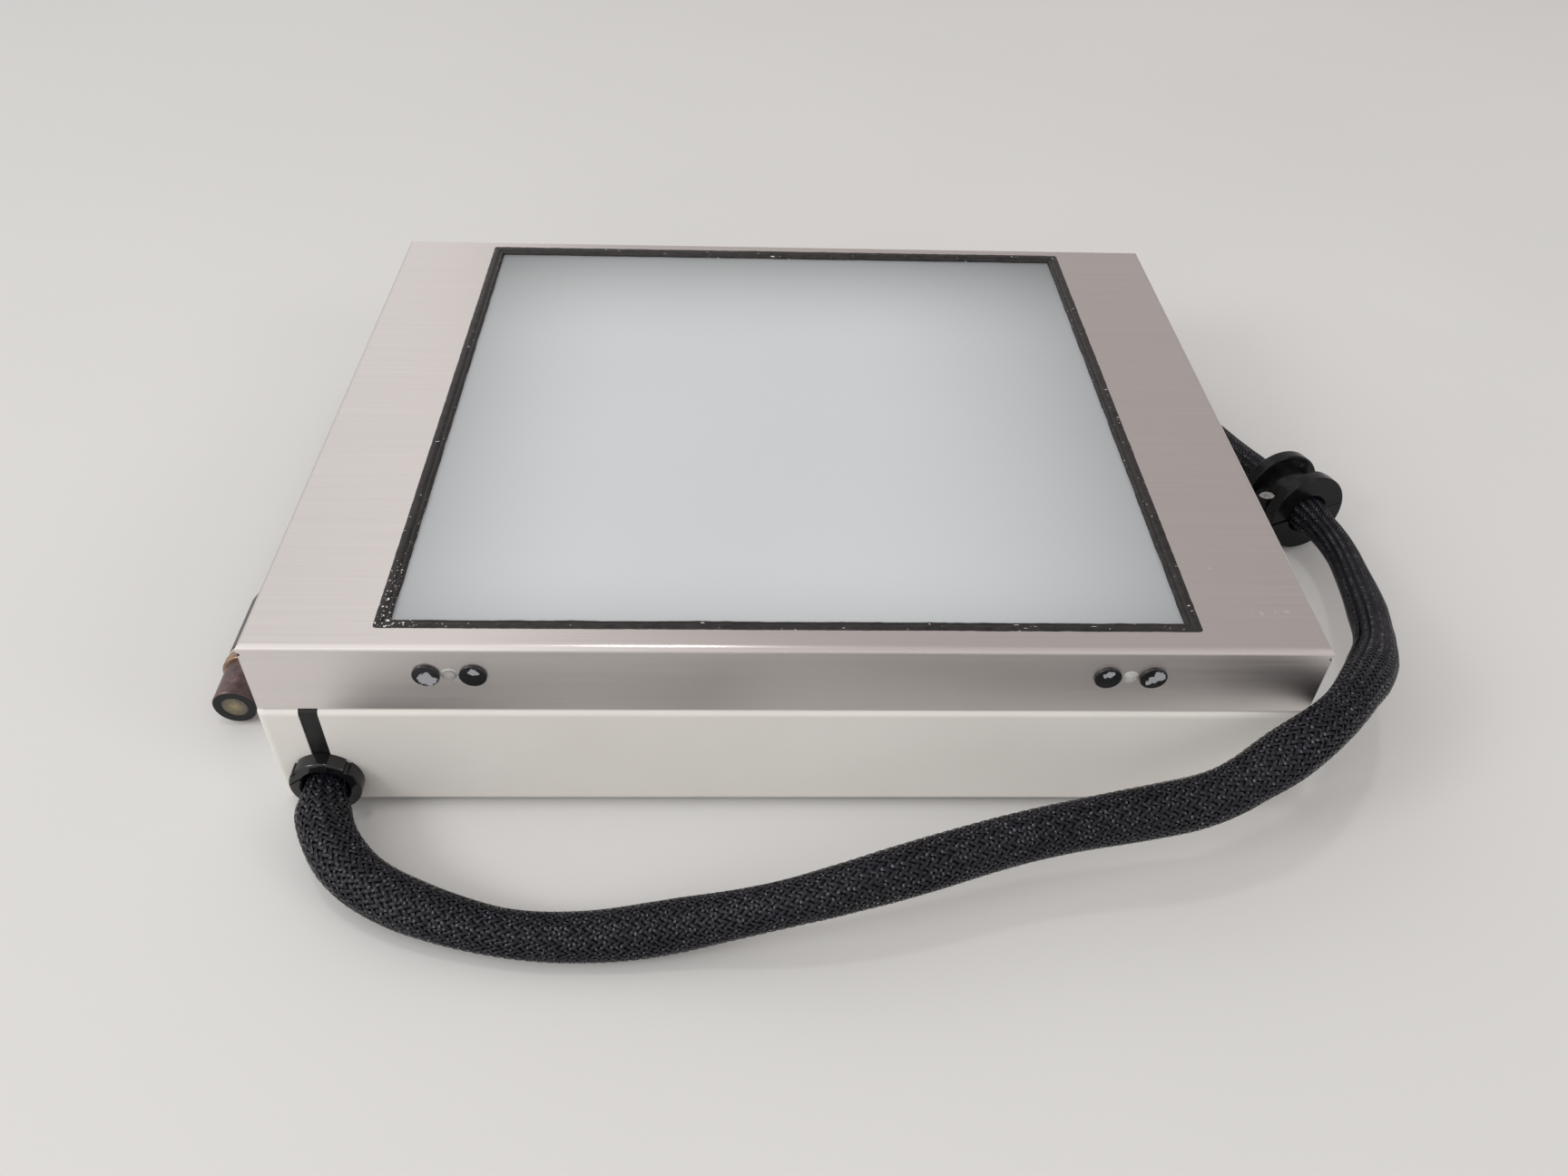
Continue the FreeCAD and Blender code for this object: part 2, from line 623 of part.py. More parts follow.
def bushing_pieces():
    form = bushing_form()
    forward, side = bush_axes()
    middle = -BUSH_L / 2
    reach = 2 * BUSH_R
    upper = form.common(box(-reach, reach, BUSH_SEAM / 2, reach, -2 * BUSH_L, BUSH_L))
    lower = form.common(box(-reach, reach, -reach, -BUSH_SEAM / 2, -2 * BUSH_L, BUSH_L))
    screws = []
    for sx in (-LUG_X, LUG_X):
        through = rod(V(sx, 0, middle), V(0, 1, 0), SCREW_HOLE_R, LUG_H + 1)
        pocket = rod(V(sx, SCREW_SEAT, middle), V(0, 1, 0), SCREW_POCKET_R, BUSH_R)
        upper = upper.cut(through).cut(pocket)
        lower = lower.cut(rod(V(sx, 0, middle), V(0, -1, 0), SCREW_HOLE_R, SCREW_BITE + 0.6))
        head = rod(V(sx, SCREW_SEAT, middle), V(0, 1, 0), SCREW_HEAD_R, SCREW_HEAD_H)
        key = hexagon(2 * HEX_KEY_R, 0, HEX_KEY_DEPTH)
        key.rotate(V(0, 0, 0), RIGHT, 90)
        key.translate(V(sx, SCREW_SEAT + SCREW_HEAD_H, middle))
        shank = rod(V(sx, SCREW_SEAT, middle), V(0, -1, 0), SCREW_R, SCREW_SEAT + SCREW_BITE)
        screws.append(head.cut(key).fuse(shank).removeSplitter())
    put = [place(s, BUSH_FRONT, forward, side) for s in [upper, lower] + screws]
    return put[0], put[1], put[2:]


def cord_route():
    """The guide's centreline, chosen by hand: out of the gland, round the front and right, behind and back."""
    return [V(*p) for p in (
        (GLAND_X, CORD_START_Y, GLAND_Z), (-158.8, -149.0, 16.2), (-152.8, -163.8, 14.8),
        (-142.2, -175.8, 12.6), (-127.6, -184.0, 10.8), (-109.0, -190.6, 9.4), (-86.0, -195.8, 8.4),
        (-61.0, -195.8, 7.8), (-34.5, -193.2, 11.0), (-10.5, -194.4, 21.0), (14.5, -192.0, 27.9),
        (46.0, -184.2, 32.4), (80.0, -174.8, 35.0), (112.0, -170.2, 37.6), (137.0, -167.0, 41.7),
        (153.0, -160.3, 47.7), (168.5, -152.6, 54.2), (182.0, -143.1, 56.2), (193.2, -130.7, 54.8),
        (203.5, -118.0, 50.4), (213.5, -101.8, 45.0), (222.6, -81.0, 37.4), (229.2, -60.0, 31.2),
        (233.6, -41.0, 26.8), (237.2, -22.4, 23.0), (235.93, -1.91, 21.18), (224.07, 39.45, 17.27),
        (217.5, 62.0, 13.0), (210.5, 90.0, 9.2), (205.0, 122.0, 8.0), (196.0, 154.0, 8.0),
        (179.0, 184.0, 8.0), (153.0, 208.0, 8.0), (120.0, 224.0, 8.0), (80.0, 231.0, 8.0),
        (32.0, 229.0, 8.0), (-25.0, 221.0, 8.0), (-80.0, 224.0, 8.0), (-125.0, 220.0, 8.0),
        (-158.0, 202.0, 8.0), (-182.0, 174.0, 8.0), (-196.0, 140.0, 8.0), (-203.0, 100.0, 8.0),
        (-202.0, 56.0, 8.0), (-202.2, 16.0, 8.2), (-203.6, -16.0, 9.2), (FERRULE_X, BOOT_END_Y, FERRULE_Z))]


def ferrule_pieces():
    """Boot, collar, ring, barrel and fibre face, one after another towards the tip."""
    def along(y):
        return V(FERRULE_X, y, FERRULE_Z)

    back = V(0, 1, 0)
    barrel_back = FERRULE_TIP_Y + BARREL_L
    barrel = rod(along(FERRULE_TIP_Y), back, BARREL_R, BARREL_L)
    tip_rim = [e for e in barrel.Edges if isinstance(e.Curve, Part.Circle)
               and abs(e.Curve.Center.y - FERRULE_TIP_Y) < 1e-6]
    barrel = barrel.makeChamfer(RIM_EDGE, tip_rim)
    core_r = BARREL_R - BARREL_WALL
    barrel = barrel.cut(rod(along(FERRULE_TIP_Y - 1), back, core_r, BARREL_L + 2))
    core = rod(along(FERRULE_TIP_Y + FACE_SINK), back, core_r, BARREL_L - FACE_SINK)
    ring = rod(along(barrel_back), back, RING_R, RING_L)
    ring = ring.makeFillet(0.5, [e for e in ring.Edges if isinstance(e.Curve, Part.Circle)])
    y = barrel_back + RING_L
    neck_front = rod(along(y), back, GROOVE_R, GROOVE_L)
    band = rod(along(y + GROOVE_L), back, COLLAR_R, COLLAR_L)
    neck_back = rod(along(y + GROOVE_L + COLLAR_L), back, GROOVE_R, GROOVE_L)
    collar = neck_front.fuse([band, neck_back]).removeSplitter()
    boot_y = y + 2 * GROOVE_L + COLLAR_L
    boot = rod(along(boot_y), back, BOOT_R, BOOT_END_Y - BOOT_TAPER - boot_y)
    taper = Part.makeCone(BOOT_R, CORD_R + 0.6, BOOT_TAPER, along(BOOT_END_Y - BOOT_TAPER), back)
    boot = boot.fuse(taper).removeSplitter()
    return {"ferrule_boot": [boot], "ferrule_collar": [collar], "ferrule_ring": [ring],
            "ferrule_barrel": [barrel], "fibre_face": [core]}


def reflector_tray():
    outer = round_block(0, 0, TRAY_W, TRAY_D, TRAY_FLOOR_Z, TRAY_TOP_Z, corner=2.0, bottom=1.5)
    inner = round_block(0, 0, TRAY_W - 2 * TRAY_SHEET, TRAY_D - 2 * TRAY_SHEET, TRAY_FLOOR_Z + TRAY_SHEET,
                        TRAY_TOP_Z + 1, corner=1.0, bottom=0.5)
    tray = outer.cut(inner)
    window = block(0, BAR_Y, TRAY_W + 2, LINE_L + 2 * LINE_WINDOW, LINE_Z - LINE_H / 2 - LINE_WINDOW,
                   LINE_Z + LINE_H / 2 + LINE_WINDOW)
    tray = tray.cut(window)
    for x, y in standoff_places():
        tray = tray.cut(rod(V(x, y, TRAY_FLOOR_Z - 1), UP, SMALL_SCREW_R + HOLE_GAP, TRAY_SHEET + 2))
    return tray


def standoff_places():
    return [(sx * STANDOFF_X, sy * STANDOFF_Y) for sx in (-1, 1) for sy in (-1, 1)]


def tray_standoffs():
    posts = []
    for x, y in standoff_places():
        post = hexagon(STANDOFF_AF, FLOOR_Z, TRAY_FLOOR_Z - FLOOR_Z, x, y)
        hole = rod(V(x, y, TRAY_FLOOR_Z - SMALL_BITE), UP, SMALL_SCREW_R, SMALL_BITE + 1)
        posts.append(post.cut(hole))
    return posts


def tray_screws():
    seat = TRAY_FLOOR_Z + TRAY_SHEET
    return [screw(x, y, seat, SMALL_BITE) for x, y in standoff_places()]


def line_bar(side):
    cx = side * BAR_X
    bar = round_block(cx, BAR_Y, BAR_W, BAR_L, BAR_BOTTOM, BAR_TOP, corner=1.0, top=0.8)
    boss = rod(V(cx, BAR_Y, BAR_BOTTOM - SOCKET_H), UP, SOCKET_R, SOCKET_H)
    socket = rod(V(cx, BAR_Y, BAR_BOTTOM - SOCKET_H - 1), UP, LEG_R + HOLE_GAP / 2, SOCKET_H + 1 + LEG_DEPTH)
    face_x = cx - side * BAR_W / 2
    slot = block(face_x, BAR_Y, 2 * LINE_DEPTH, LINE_L, LINE_Z - LINE_H / 2, LINE_Z + LINE_H / 2)
    bar = bar.fuse(boss).cut(socket).cut(slot)
    for y in bracket_places():
        bar = bar.cut(rod(V(cx, y, BAR_BOTTOM - 1), UP, SMALL_SCREW_R, SMALL_BITE + 1.5))
    return bar


def fibre_lines():
    lines = []
    for side in (-1, 1):
        face_x = side * (BAR_X - BAR_W / 2)
        inner_x = face_x + side * LINE_DEPTH
        lines.append(box(min(face_x, inner_x), max(face_x, inner_x), BAR_Y - LINE_L / 2, BAR_Y + LINE_L / 2,
                         LINE_Z - LINE_H / 2, LINE_Z + LINE_H / 2))
    return lines


def bracket_places():
    return [BAR_Y - BRACKET_Y, BAR_Y + BRACKET_Y]


def bar_brackets():
    """Z-shaped sheet brackets: foot on the base's floor, shelf under the bar."""
    brackets = []
    for side in (-1, 1):
        cx = side * BAR_X
        for y, way in zip(bracket_places(), (-1, 1)):
            web_y = y - way * BRACKET_FOOT / 2
            web = block(cx, web_y, BAR_W - 2, BRACKET_T, FLOOR_Z, BAR_BOTTOM)
            shelf = block(cx, y, BAR_W - 2, BRACKET_FOOT, BAR_BOTTOM - BRACKET_T, BAR_BOTTOM)
            foot = block(cx, web_y - way * (BRACKET_FOOT / 2), BAR_W - 2, BRACKET_FOOT, FLOOR_Z,
                         FLOOR_Z + BRACKET_T)
            bracket = web.fuse([shelf, foot]).removeSplitter()
            bracket = bracket.cut(rod(V(cx, y, BAR_BOTTOM - 3), UP, SMALL_SCREW_R + HOLE_GAP, 4))
            brackets.append(bracket)
    return brackets


def bar_screws():
    return [screw(side * BAR_X, y, BAR_BOTTOM - BRACKET_T, BRACKET_T + SMALL_BITE, head_up=False)
            for side in (-1, 1) for y in bracket_places()]


def bezier(controls, t):
    """A point of the Bezier curve with these control points."""
    degree = len(controls) - 1
    total = V(0, 0, 0)
    for k, control in enumerate(controls):
        total += control * (math.comb(degree, k) * t ** k * (1 - t) ** (degree - k))
    return total


def leg_lead(side, end):
    """Plan of a leg on the floor: the left one keeps outside its bar's bracket, the right one crosses over."""
    start = V(GLAND_X + side * LEG_SPREAD, SPLITTER_END_Y + LEG_LEAD, 0)
    run = end.y - start.y
    if side < 0:
        plan = [start, V(start.x, start.y + run / 4, 0), V(start.x, start.y + run / 2, 0),
                V(end.x, end.y - run / 4, 0), V(end.x, end.y, 0)]
    else:
        plan = [start, V(start.x, end.y - run / 3, 0), V(end.x, start.y + run / 3, 0), V(end.x, end.y, 0)]
    points = [V(start.x, SPLITTER_END_Y, GLAND_Z)]
    for k in range(LEG_STEPS):
        t = k / LEG_STEPS
        height = end.z + (GLAND_Z - end.z) * (1 - t) ** (2 if side < 0 else 6)
        points.append(bezier(plan, t) + V(0, 0, height))
    return points


def fibre_leg(side):
    """From the splitter along the floor to the socket under a bar."""
    low = FLOOR_Z + LEG_R + LEG_FLOOR_GAP
    x = side * BAR_X
    corner_reach = LEG_BEND_R / math.cos(math.radians(11.25))
    rise = []
    for k in range(4):
        angle = math.radians(11.25 + 22.5 * k)
        rise.append(V(x, BAR_Y - LEG_BEND_R + corner_reach * math.sin(angle),
                      low + LEG_BEND_R - corner_reach * math.cos(angle)))
    rise.append(V(x, BAR_Y, BAR_BOTTOM + LEG_DEPTH))
    label = "fibre leg left" if side < 0 else "fibre leg right"
    return cord_tube(leg_lead(side, rise[0]) + rise, LEG_R, label)


def inner_bundle():
    return rod(V(GLAND_X, CORD_START_Y, GLAND_Z), V(0, 1, 0), BUNDLE_R, BUNDLE_END_Y - CORD_START_Y)


def bundle_splitter():
    start = V(GLAND_X, BUNDLE_END_Y, GLAND_Z)
    neck_end = V(GLAND_X, CRADLE_Y + CRADLE_L / 2 + 1, GLAND_Z)
    neck = rod(start, V(0, 1, 0), SPLITTER_R, neck_end.y - start.y)
    round_end = Part.Wire(Part.makeCircle(SPLITTER_R, neck_end, V(0, 1, 0)))
    r = SPLITTER_T / 2
    half = SPLITTER_W / 2 - r
    y = SPLITTER_END_Y
    flat = Part.Wire([
        Part.LineSegment(V(GLAND_X - half, y, GLAND_Z - r), V(GLAND_X + half, y, GLAND_Z - r)).toShape(),
        Part.Arc(V(GLAND_X + half, y, GLAND_Z - r), V(GLAND_X + half + r, y, GLAND_Z),
                 V(GLAND_X + half, y, GLAND_Z + r)).toShape(),
        Part.LineSegment(V(GLAND_X + half, y, GLAND_Z + r), V(GLAND_X - half, y, GLAND_Z + r)).toShape(),
        Part.Arc(V(GLAND_X - half, y, GLAND_Z + r), V(GLAND_X - half - r, y, GLAND_Z),
                 V(GLAND_X - half, y, GLAND_Z - r)).toShape()])
    fan = Part.makeLoft([round_end, flat], True)
    return neck.fuse(fan)


def strap_screw_places():
    offset = SPLITTER_R + STRAP_T + SMALL_HEAD_R + 2 * HOLE_GAP
    return [(GLAND_X - offset, CRADLE_Y), (GLAND_X + offset, CRADLE_Y)]


def splitter_cradle():
    cradle = block(GLAND_X, CRADLE_Y, CRADLE_W, CRADLE_L, FLOOR_Z, GLAND_Z)
    channel = rod(V(GLAND_X, CRADLE_Y - CRADLE_L, GLAND_Z), V(0, 1, 0), SPLITTER_R, 2 * CRADLE_L)
    cradle = cradle.cut(channel)
    for x, y in strap_screw_places():
        cradle = cradle.cut(rod(V(x, y, GLAND_Z - SMALL_BITE - 0.5), UP, SMALL_SCREW_R, SMALL_BITE + 1))
    return cradle


def splitter_strap():
    outer = rod(V(GLAND_X, CRADLE_Y - CRADLE_L / 2, GLAND_Z), V(0, 1, 0), SPLITTER_R + STRAP_T, CRADLE_L)
    outer = outer.common(block(GLAND_X, CRADLE_Y, CRADLE_W, CRADLE_L, GLAND_Z, GLAND_Z + 20))
    ears = block(GLAND_X, CRADLE_Y, CRADLE_W, CRADLE_L, GLAND_Z, GLAND_Z + STRAP_T)
    channel = rod(V(GLAND_X, CRADLE_Y - CRADLE_L, GLAND_Z), V(0, 1, 0), SPLITTER_R, 2 * CRADLE_L)
    strap = outer.fuse(ears).cut(channel).removeSplitter()
    for x, y in strap_screw_places():
        strap = strap.cut(rod(V(x, y, GLAND_Z - 1), UP, SMALL_SCREW_R + HOLE_GAP, STRAP_T + 2))
    return strap


def strap_screws():
    return [screw(x, y, GLAND_Z + STRAP_T, SMALL_BITE) for x, y in strap_screw_places()]


def save(name, solids):
    shape = solids[0] if len(solids) == 1 else Part.makeCompound(solids)
    bad = [s for s in shape.Solids if not s.isValid() or s.Volume <= 0]
    print(name, len(shape.Solids), "solids", round(shape.Volume, 1), "mm3", "BAD" if bad else "")
    shape.exportStep("parts/" + name + ".step")


def main():
    os.makedirs("parts", exist_ok=True)
    save("cover_shell", [cover_shell()])
    save("window_panel", [window_panel()])
    save("window_bead", [window_bead()])
    save("diffuser_panel", [diffuser_panel()])
    save("window_rails", window_rails())
    save("window_studs", window_studs())
    save("window_nuts", window_nuts())
    save("lip_magnets", lip_magnets())
    save("lip_bumpers", lip_bumpers())
    save("base_tray", [base_tray()])
    save("rubber_feet", rubber_feet())
    save("slot_strip", [slot_strip()])
    save("locating_angles", locating_angles())
    cap, saddle = gland_halves()
    save("gland_cap", [cap])
    save("gland_saddle", [saddle])
    upper, lower, screws = bushing_pieces()
    save("bushing_upper", [upper])
    save("bushing_lower", [lower])
    save("bushing_screws", screws)
    save("light_guide_sleeve", [cord_tube(cord_route(), CORD_R, "light guide")])
    for name, solids in ferrule_pieces().items():
        save(name, solids)
    save("reflector_tray", [reflector_tray()])
    save("tray_standoffs", tray_standoffs())
    save("tray_screws", tray_screws())
    save("line_bar_left", [line_bar(-1)])
    save("line_bar_right", [line_bar(1)])
    save("fibre_lines", fibre_lines())
    save("bar_brackets", bar_brackets())
    save("bar_screws", bar_screws())
    save("fibre_leg_left", [fibre_leg(-1)])
    save("fibre_leg_right", [fibre_leg(1)])
    save("inner_bundle", [inner_bundle()])
    save("bundle_splitter", [bundle_splitter()])
    save("splitter_cradle", [splitter_cradle()])
    save("splitter_strap", [splitter_strap()])
    save("strap_screws", strap_screws())


main()
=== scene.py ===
import math
from functools import reduce

import bpy
import numpy as np
from mathutils import Matrix, Vector, noise


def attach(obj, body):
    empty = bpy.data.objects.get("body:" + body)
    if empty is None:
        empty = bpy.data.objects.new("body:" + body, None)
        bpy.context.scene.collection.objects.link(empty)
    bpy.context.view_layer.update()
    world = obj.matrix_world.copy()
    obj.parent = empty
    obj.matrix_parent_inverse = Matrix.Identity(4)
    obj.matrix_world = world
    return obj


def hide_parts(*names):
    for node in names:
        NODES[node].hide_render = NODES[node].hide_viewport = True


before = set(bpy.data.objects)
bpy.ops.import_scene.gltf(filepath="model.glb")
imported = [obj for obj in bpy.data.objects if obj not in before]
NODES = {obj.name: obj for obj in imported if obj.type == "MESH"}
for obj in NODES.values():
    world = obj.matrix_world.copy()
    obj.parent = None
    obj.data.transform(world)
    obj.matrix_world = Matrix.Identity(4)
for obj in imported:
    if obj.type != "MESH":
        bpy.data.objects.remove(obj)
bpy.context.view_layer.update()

MM = 0.001

# The camera, solved from the photograph's straight edges (1728 x 1296 pixels)
SENSOR_MM = 36.0
LENS_MM = 28.027
CAMERA_PLACE = (-0.01717, -0.40863, 0.35356)
CAMERA_RIGHT = (0.99932658, -0.02243295, 0.02903718)
CAMERA_DOWN = (0.00629806, -0.67474098, -0.73802774)
CAMERA_AHEAD = (0.03614871, 0.73771362, -0.6741453)
CLIP_START = 0.01

# The light guide's route, in millimetres: the same points as in the CAD source
ROUTE_MM = (
    (-158.8, -133.0, 16.2), (-158.8, -149.0, 16.2), (-152.8, -163.8, 14.8),
    (-142.2, -175.8, 12.6), (-127.6, -184.0, 10.8), (-109.0, -190.6, 9.4), (-86.0, -195.8, 8.4),
    (-61.0, -195.8, 7.8), (-34.5, -193.2, 11.0), (-10.5, -194.4, 21.0), (14.5, -192.0, 27.9),
    (46.0, -184.2, 32.4), (80.0, -174.8, 35.0), (112.0, -170.2, 37.6), (137.0, -167.0, 41.7),
    (153.0, -160.3, 47.7), (168.5, -152.6, 54.2), (182.0, -143.1, 56.2), (193.2, -130.7, 54.8),
    (203.5, -118.0, 50.4), (213.5, -101.8, 45.0), (222.6, -81.0, 37.4), (229.2, -60.0, 31.2),
    (233.6, -41.0, 26.8), (237.2, -22.4, 23.0), (235.93, -1.91, 21.18), (224.07, 39.45, 17.27),
    (217.5, 62.0, 13.0), (210.5, 90.0, 9.2), (205.0, 122.0, 8.0), (196.0, 154.0, 8.0),
    (179.0, 184.0, 8.0), (153.0, 208.0, 8.0), (120.0, 224.0, 8.0), (80.0, 231.0, 8.0),
    (32.0, 229.0, 8.0), (-25.0, 221.0, 8.0), (-80.0, 224.0, 8.0), (-125.0, 220.0, 8.0),
    (-158.0, 202.0, 8.0), (-182.0, 174.0, 8.0), (-196.0, 140.0, 8.0), (-203.0, 100.0, 8.0),
    (-202.0, 56.0, 8.0), (-202.2, 16.0, 8.2), (-203.6, -16.0, 9.2), (-204.2, -42.0, 9.7))
ROUTE_DETAIL = 24          # points read from the spline for each of its own

# The sleeve's width, measured in the photograph where it shows: (millimetres from the gland, millimetres)
SLEEVE = np.array((
    (0, 13.0), (10, 13.2), (14, 14.6), (20, 17.6), (30, 17.3), (41, 17.7), (50, 17.3), (60, 17.1), (70, 16.9),
    (79, 16.0), (90, 15.1), (100, 14.3), (109, 14.4), (119, 14.9), (128, 15.3), (139, 16.0), (148, 16.3),
    (159, 16.0), (171, 14.8), (180, 14.1), (189, 13.8), (198, 14.0), (208, 14.7), (217, 15.1), (228, 15.8),
    (240, 16.0), (255, 15.8), (271, 15.6), (290, 15.6), (308, 16.3), (324, 16.7), (341, 15.9), (350, 15.9),
    (358, 17.0), (364, 17.4), (371, 16.8), (384, 15.0), (393, 14.4), (404, 14.8), (416, 16.1), (430, 16.1),
    (444, 13.9), (460, 13.2), (477, 13.7), (492, 12.9), (510, 12.2), (525, 12.0), (548, 12.4), (554, 14.2),
    (557, 15.0), (566, 15.0), (584, 14.2), (592, 13.2), (620, 13.4), (680, 14.6), (760, 15.2), (1330, 15.2),
    (1346, 14.6), (1360, 14.2)))

# The weave: a band moves on by one strand's place in each lay, (millimetres from the gland, millimetres)
STRANDS = 28
LAY = np.array(((0, 3.2), (360, 3.2), (440, 2.2), (490, 1.7), (590, 1.7), (640, 3.2))) * MM
SHARE = 0.7                # a band's width as a share of a strand's place
SHARE_WANDER = 0.06        # how much that width wanders along a band
WEAVE_FLAT = 1.6           # over 1, a band runs level before it dives
PHASE_STEP = 0.26          # points along a band, in strand places
BRAID_STEP = 0.8 * MM      # points along the guide, before they are spaced by phase
CROWN = 0.16 * MM          # a band's middle over its level
EDGE_DROP = 0.05 * MM      # its edges under its level
FLOAT_H = 0.3 * MM         # rise and fall where bands cross
FLOOR_GAP = 0.2 * MM       # the sleeve comes no closer to the table
CORE_IN = 0.8 * MM         # the dark bundle's depth under the bands
CORE_STEP = 3.2 * MM
CORE_AROUND = 32

# The sleeve's fold on the inside of the right bend: along the guide in millimetres, round it in radians
FOLD_AT, FOLD_LENGTH = 447.0, 26.0
FOLD_ANGLE, FOLD_WIDTH = 2.35, 0.34
FOLD_DEPTH = 1.0 * MM

# The silicone bead, in millimetres: the cut-out's half sizes, its centre's y, and steps along its edge
BEAD_HALF_W, BEAD_HALF_D, BEAD_Y = 134.0, 129.2, 1.5
BEAD_CORNER = 1.3
BEAD_STEP = 1.2
CORNER_PARTS = 6
# Its section from the cover's top down to the glass: (outwards from the edge, height)
BEAD_PROFILE = (
    (0.2, 78.55), (0.0, 78.72), (-0.7, 78.8), (-1.6, 78.7), (-2.55, 78.74), (-2.8, 78.2), (-3.1, 78.15),
    (-3.6, 78.45), (-4.1, 78.25), (-4.5, 77.8), (-4.65, 77.12))
FOOT_FROM = 7              # from this point of the section on, the bead wanders more


def make_camera():
    data = bpy.data.cameras.new("camera")
    data.sensor_width = SENSOR_MM
    data.lens = LENS_MM
    data.clip_start = CLIP_START
    cam = bpy.data.objects.new("camera", data)
    right, down, ahead = Vector(CAMERA_RIGHT), Vector(CAMERA_DOWN), Vector(CAMERA_AHEAD)
    turn = Matrix((right, -down, -ahead)).transposed().to_4x4()
    cam.matrix_world = Matrix.Translation(CAMERA_PLACE) @ turn
    bpy.context.scene.collection.objects.link(cam)
    bpy.context.scene.camera = cam


def make_route():
    """The guide's centreline: a smooth NURBS through its listed points, read as a row of points."""
    data = bpy.data.curves.new("guide_route", "CURVE")
    data.dimensions = "3D"
    line = data.splines.new("NURBS")
    line.points.add(len(ROUTE_MM) - 1)
    for point, (x, y, z) in zip(line.points, ROUTE_MM):
        point.co = (x * MM, y * MM, z * MM, 1.0)
    line.order_u = 3
    line.use_endpoint_u = True
    line.resolution_u = ROUTE_DETAIL
    holder = bpy.data.objects.new("guide_route", data)
    bpy.context.scene.collection.objects.link(holder)
    bpy.context.view_layer.update()
    read = bpy.data.meshes.new_from_object(holder)
    points = np.array([v.co[:] for v in read.vertices])
    bpy.data.objects.remove(holder)
    bpy.data.meshes.remove(read)
    return points


def read_rows(at, run, rows):
    """The rows of three numbers at other places along their run."""
    return np.stack([np.interp(at, run, rows[:, k]) for k in range(3)], axis=1)


def resample(points, step):
    """Points at even steps along the line, with frames that don't twist."""
    run = np.r_[0, np.cumsum(np.linalg.norm(np.diff(points, axis=0), axis=1))]
    along = np.linspace(0, run[-1], int(run[-1] / step) + 1)
    centre = read_rows(along, run, points)
    for _ in range(3):
        centre[1:-1] = 0.25 * centre[:-2] + 0.5 * centre[1:-1] + 0.25 * centre[2:]
    ahead = np.gradient(centre, axis=0)
    ahead /= np.linalg.norm(ahead, axis=1)[:, None]
    side = np.zeros_like(centre)
    first = np.cross(ahead[0], (0, 0, 1))
    side[0] = first / np.linalg.norm(first)
    for i in range(1, len(centre)):
        s = side[i - 1] - ahead[i] * (side[i - 1] @ ahead[i])
        side[i] = s / np.linalg.norm(s)
    lift = np.cross(side, ahead)
    return along, centre, side, lift


def mesh_object(name, verts, faces, uvs=None, smooth=True):
    mesh = bpy.data.meshes.new(name)
    verts = np.asarray(verts, np.float32)
    faces = np.asarray(faces, np.int32)
    mesh.vertices.add(len(verts))
    mesh.vertices.foreach_set("co", verts.ravel())
    mesh.loops.add(faces.size)
    mesh.loops.foreach_set("vertex_index", faces.ravel())
    mesh.polygons.add(len(faces))
    starts = np.arange(0, faces.size, faces.shape[1], dtype=np.int32)
    mesh.polygons.foreach_set("loop_start", starts)
    if smooth:
        mesh.polygons.foreach_set("use_smooth", np.ones(len(faces), bool))
    mesh.update(calc_edges=True)
    if uvs is not None:
        layer = mesh.uv_layers.new(name="UVMap")
        layer.data.foreach_set("uv", np.asarray(uvs, np.float32)[faces.ravel()].ravel())
    mesh.validate()
    obj = bpy.data.objects.new(name, mesh)
    bpy.context.scene.collection.objects.link(obj)
    return obj


def sleeve_radius(along, angle):
    """The measured width, a little slack, and the soft fold on the inside of the right bend."""
    s = along / MM
    base = 0.5 * MM * np.interp(along, SLEEVE[:, 0] * MM, SLEEVE[:, 1])
    # Slack: two shallow waves along the guide and round it
    slack = 0.09 * MM * np.sin(s / 17.0 + 1.3) * np.sin(angle * 2 + s / 31.0)
    slack += 0.07 * MM * np.sin(s / 7.3 + 0.4) * np.sin(angle * 3 + 2.0)
    fold = np.exp(-((s - FOLD_AT) / FOLD_LENGTH) ** 2)
    dent = np.exp(-((np.angle(np.exp(1j * (angle - FOLD_ANGLE)))) / FOLD_WIDTH) ** 2)
    return base + slack - FOLD_DEPTH * fold * dent


def ring_points(centre, side, lift, angle, radius):
    """Points round the guide at the given angles, kept off the table."""
    out = centre + radius[:, None] * (np.cos(angle)[:, None] * side + np.sin(angle)[:, None] * lift)
    out[:, 2] = np.maximum(out[:, 2], FLOOR_GAP)
    return out


def strip_faces(a, b, n):
    """The quads between two rows of n vertices that start at a and b."""
    a = a + np.arange(n - 1)
    b = b + np.arange(n - 1)
    return np.stack([a, b, b + 1, a + 1], axis=1)


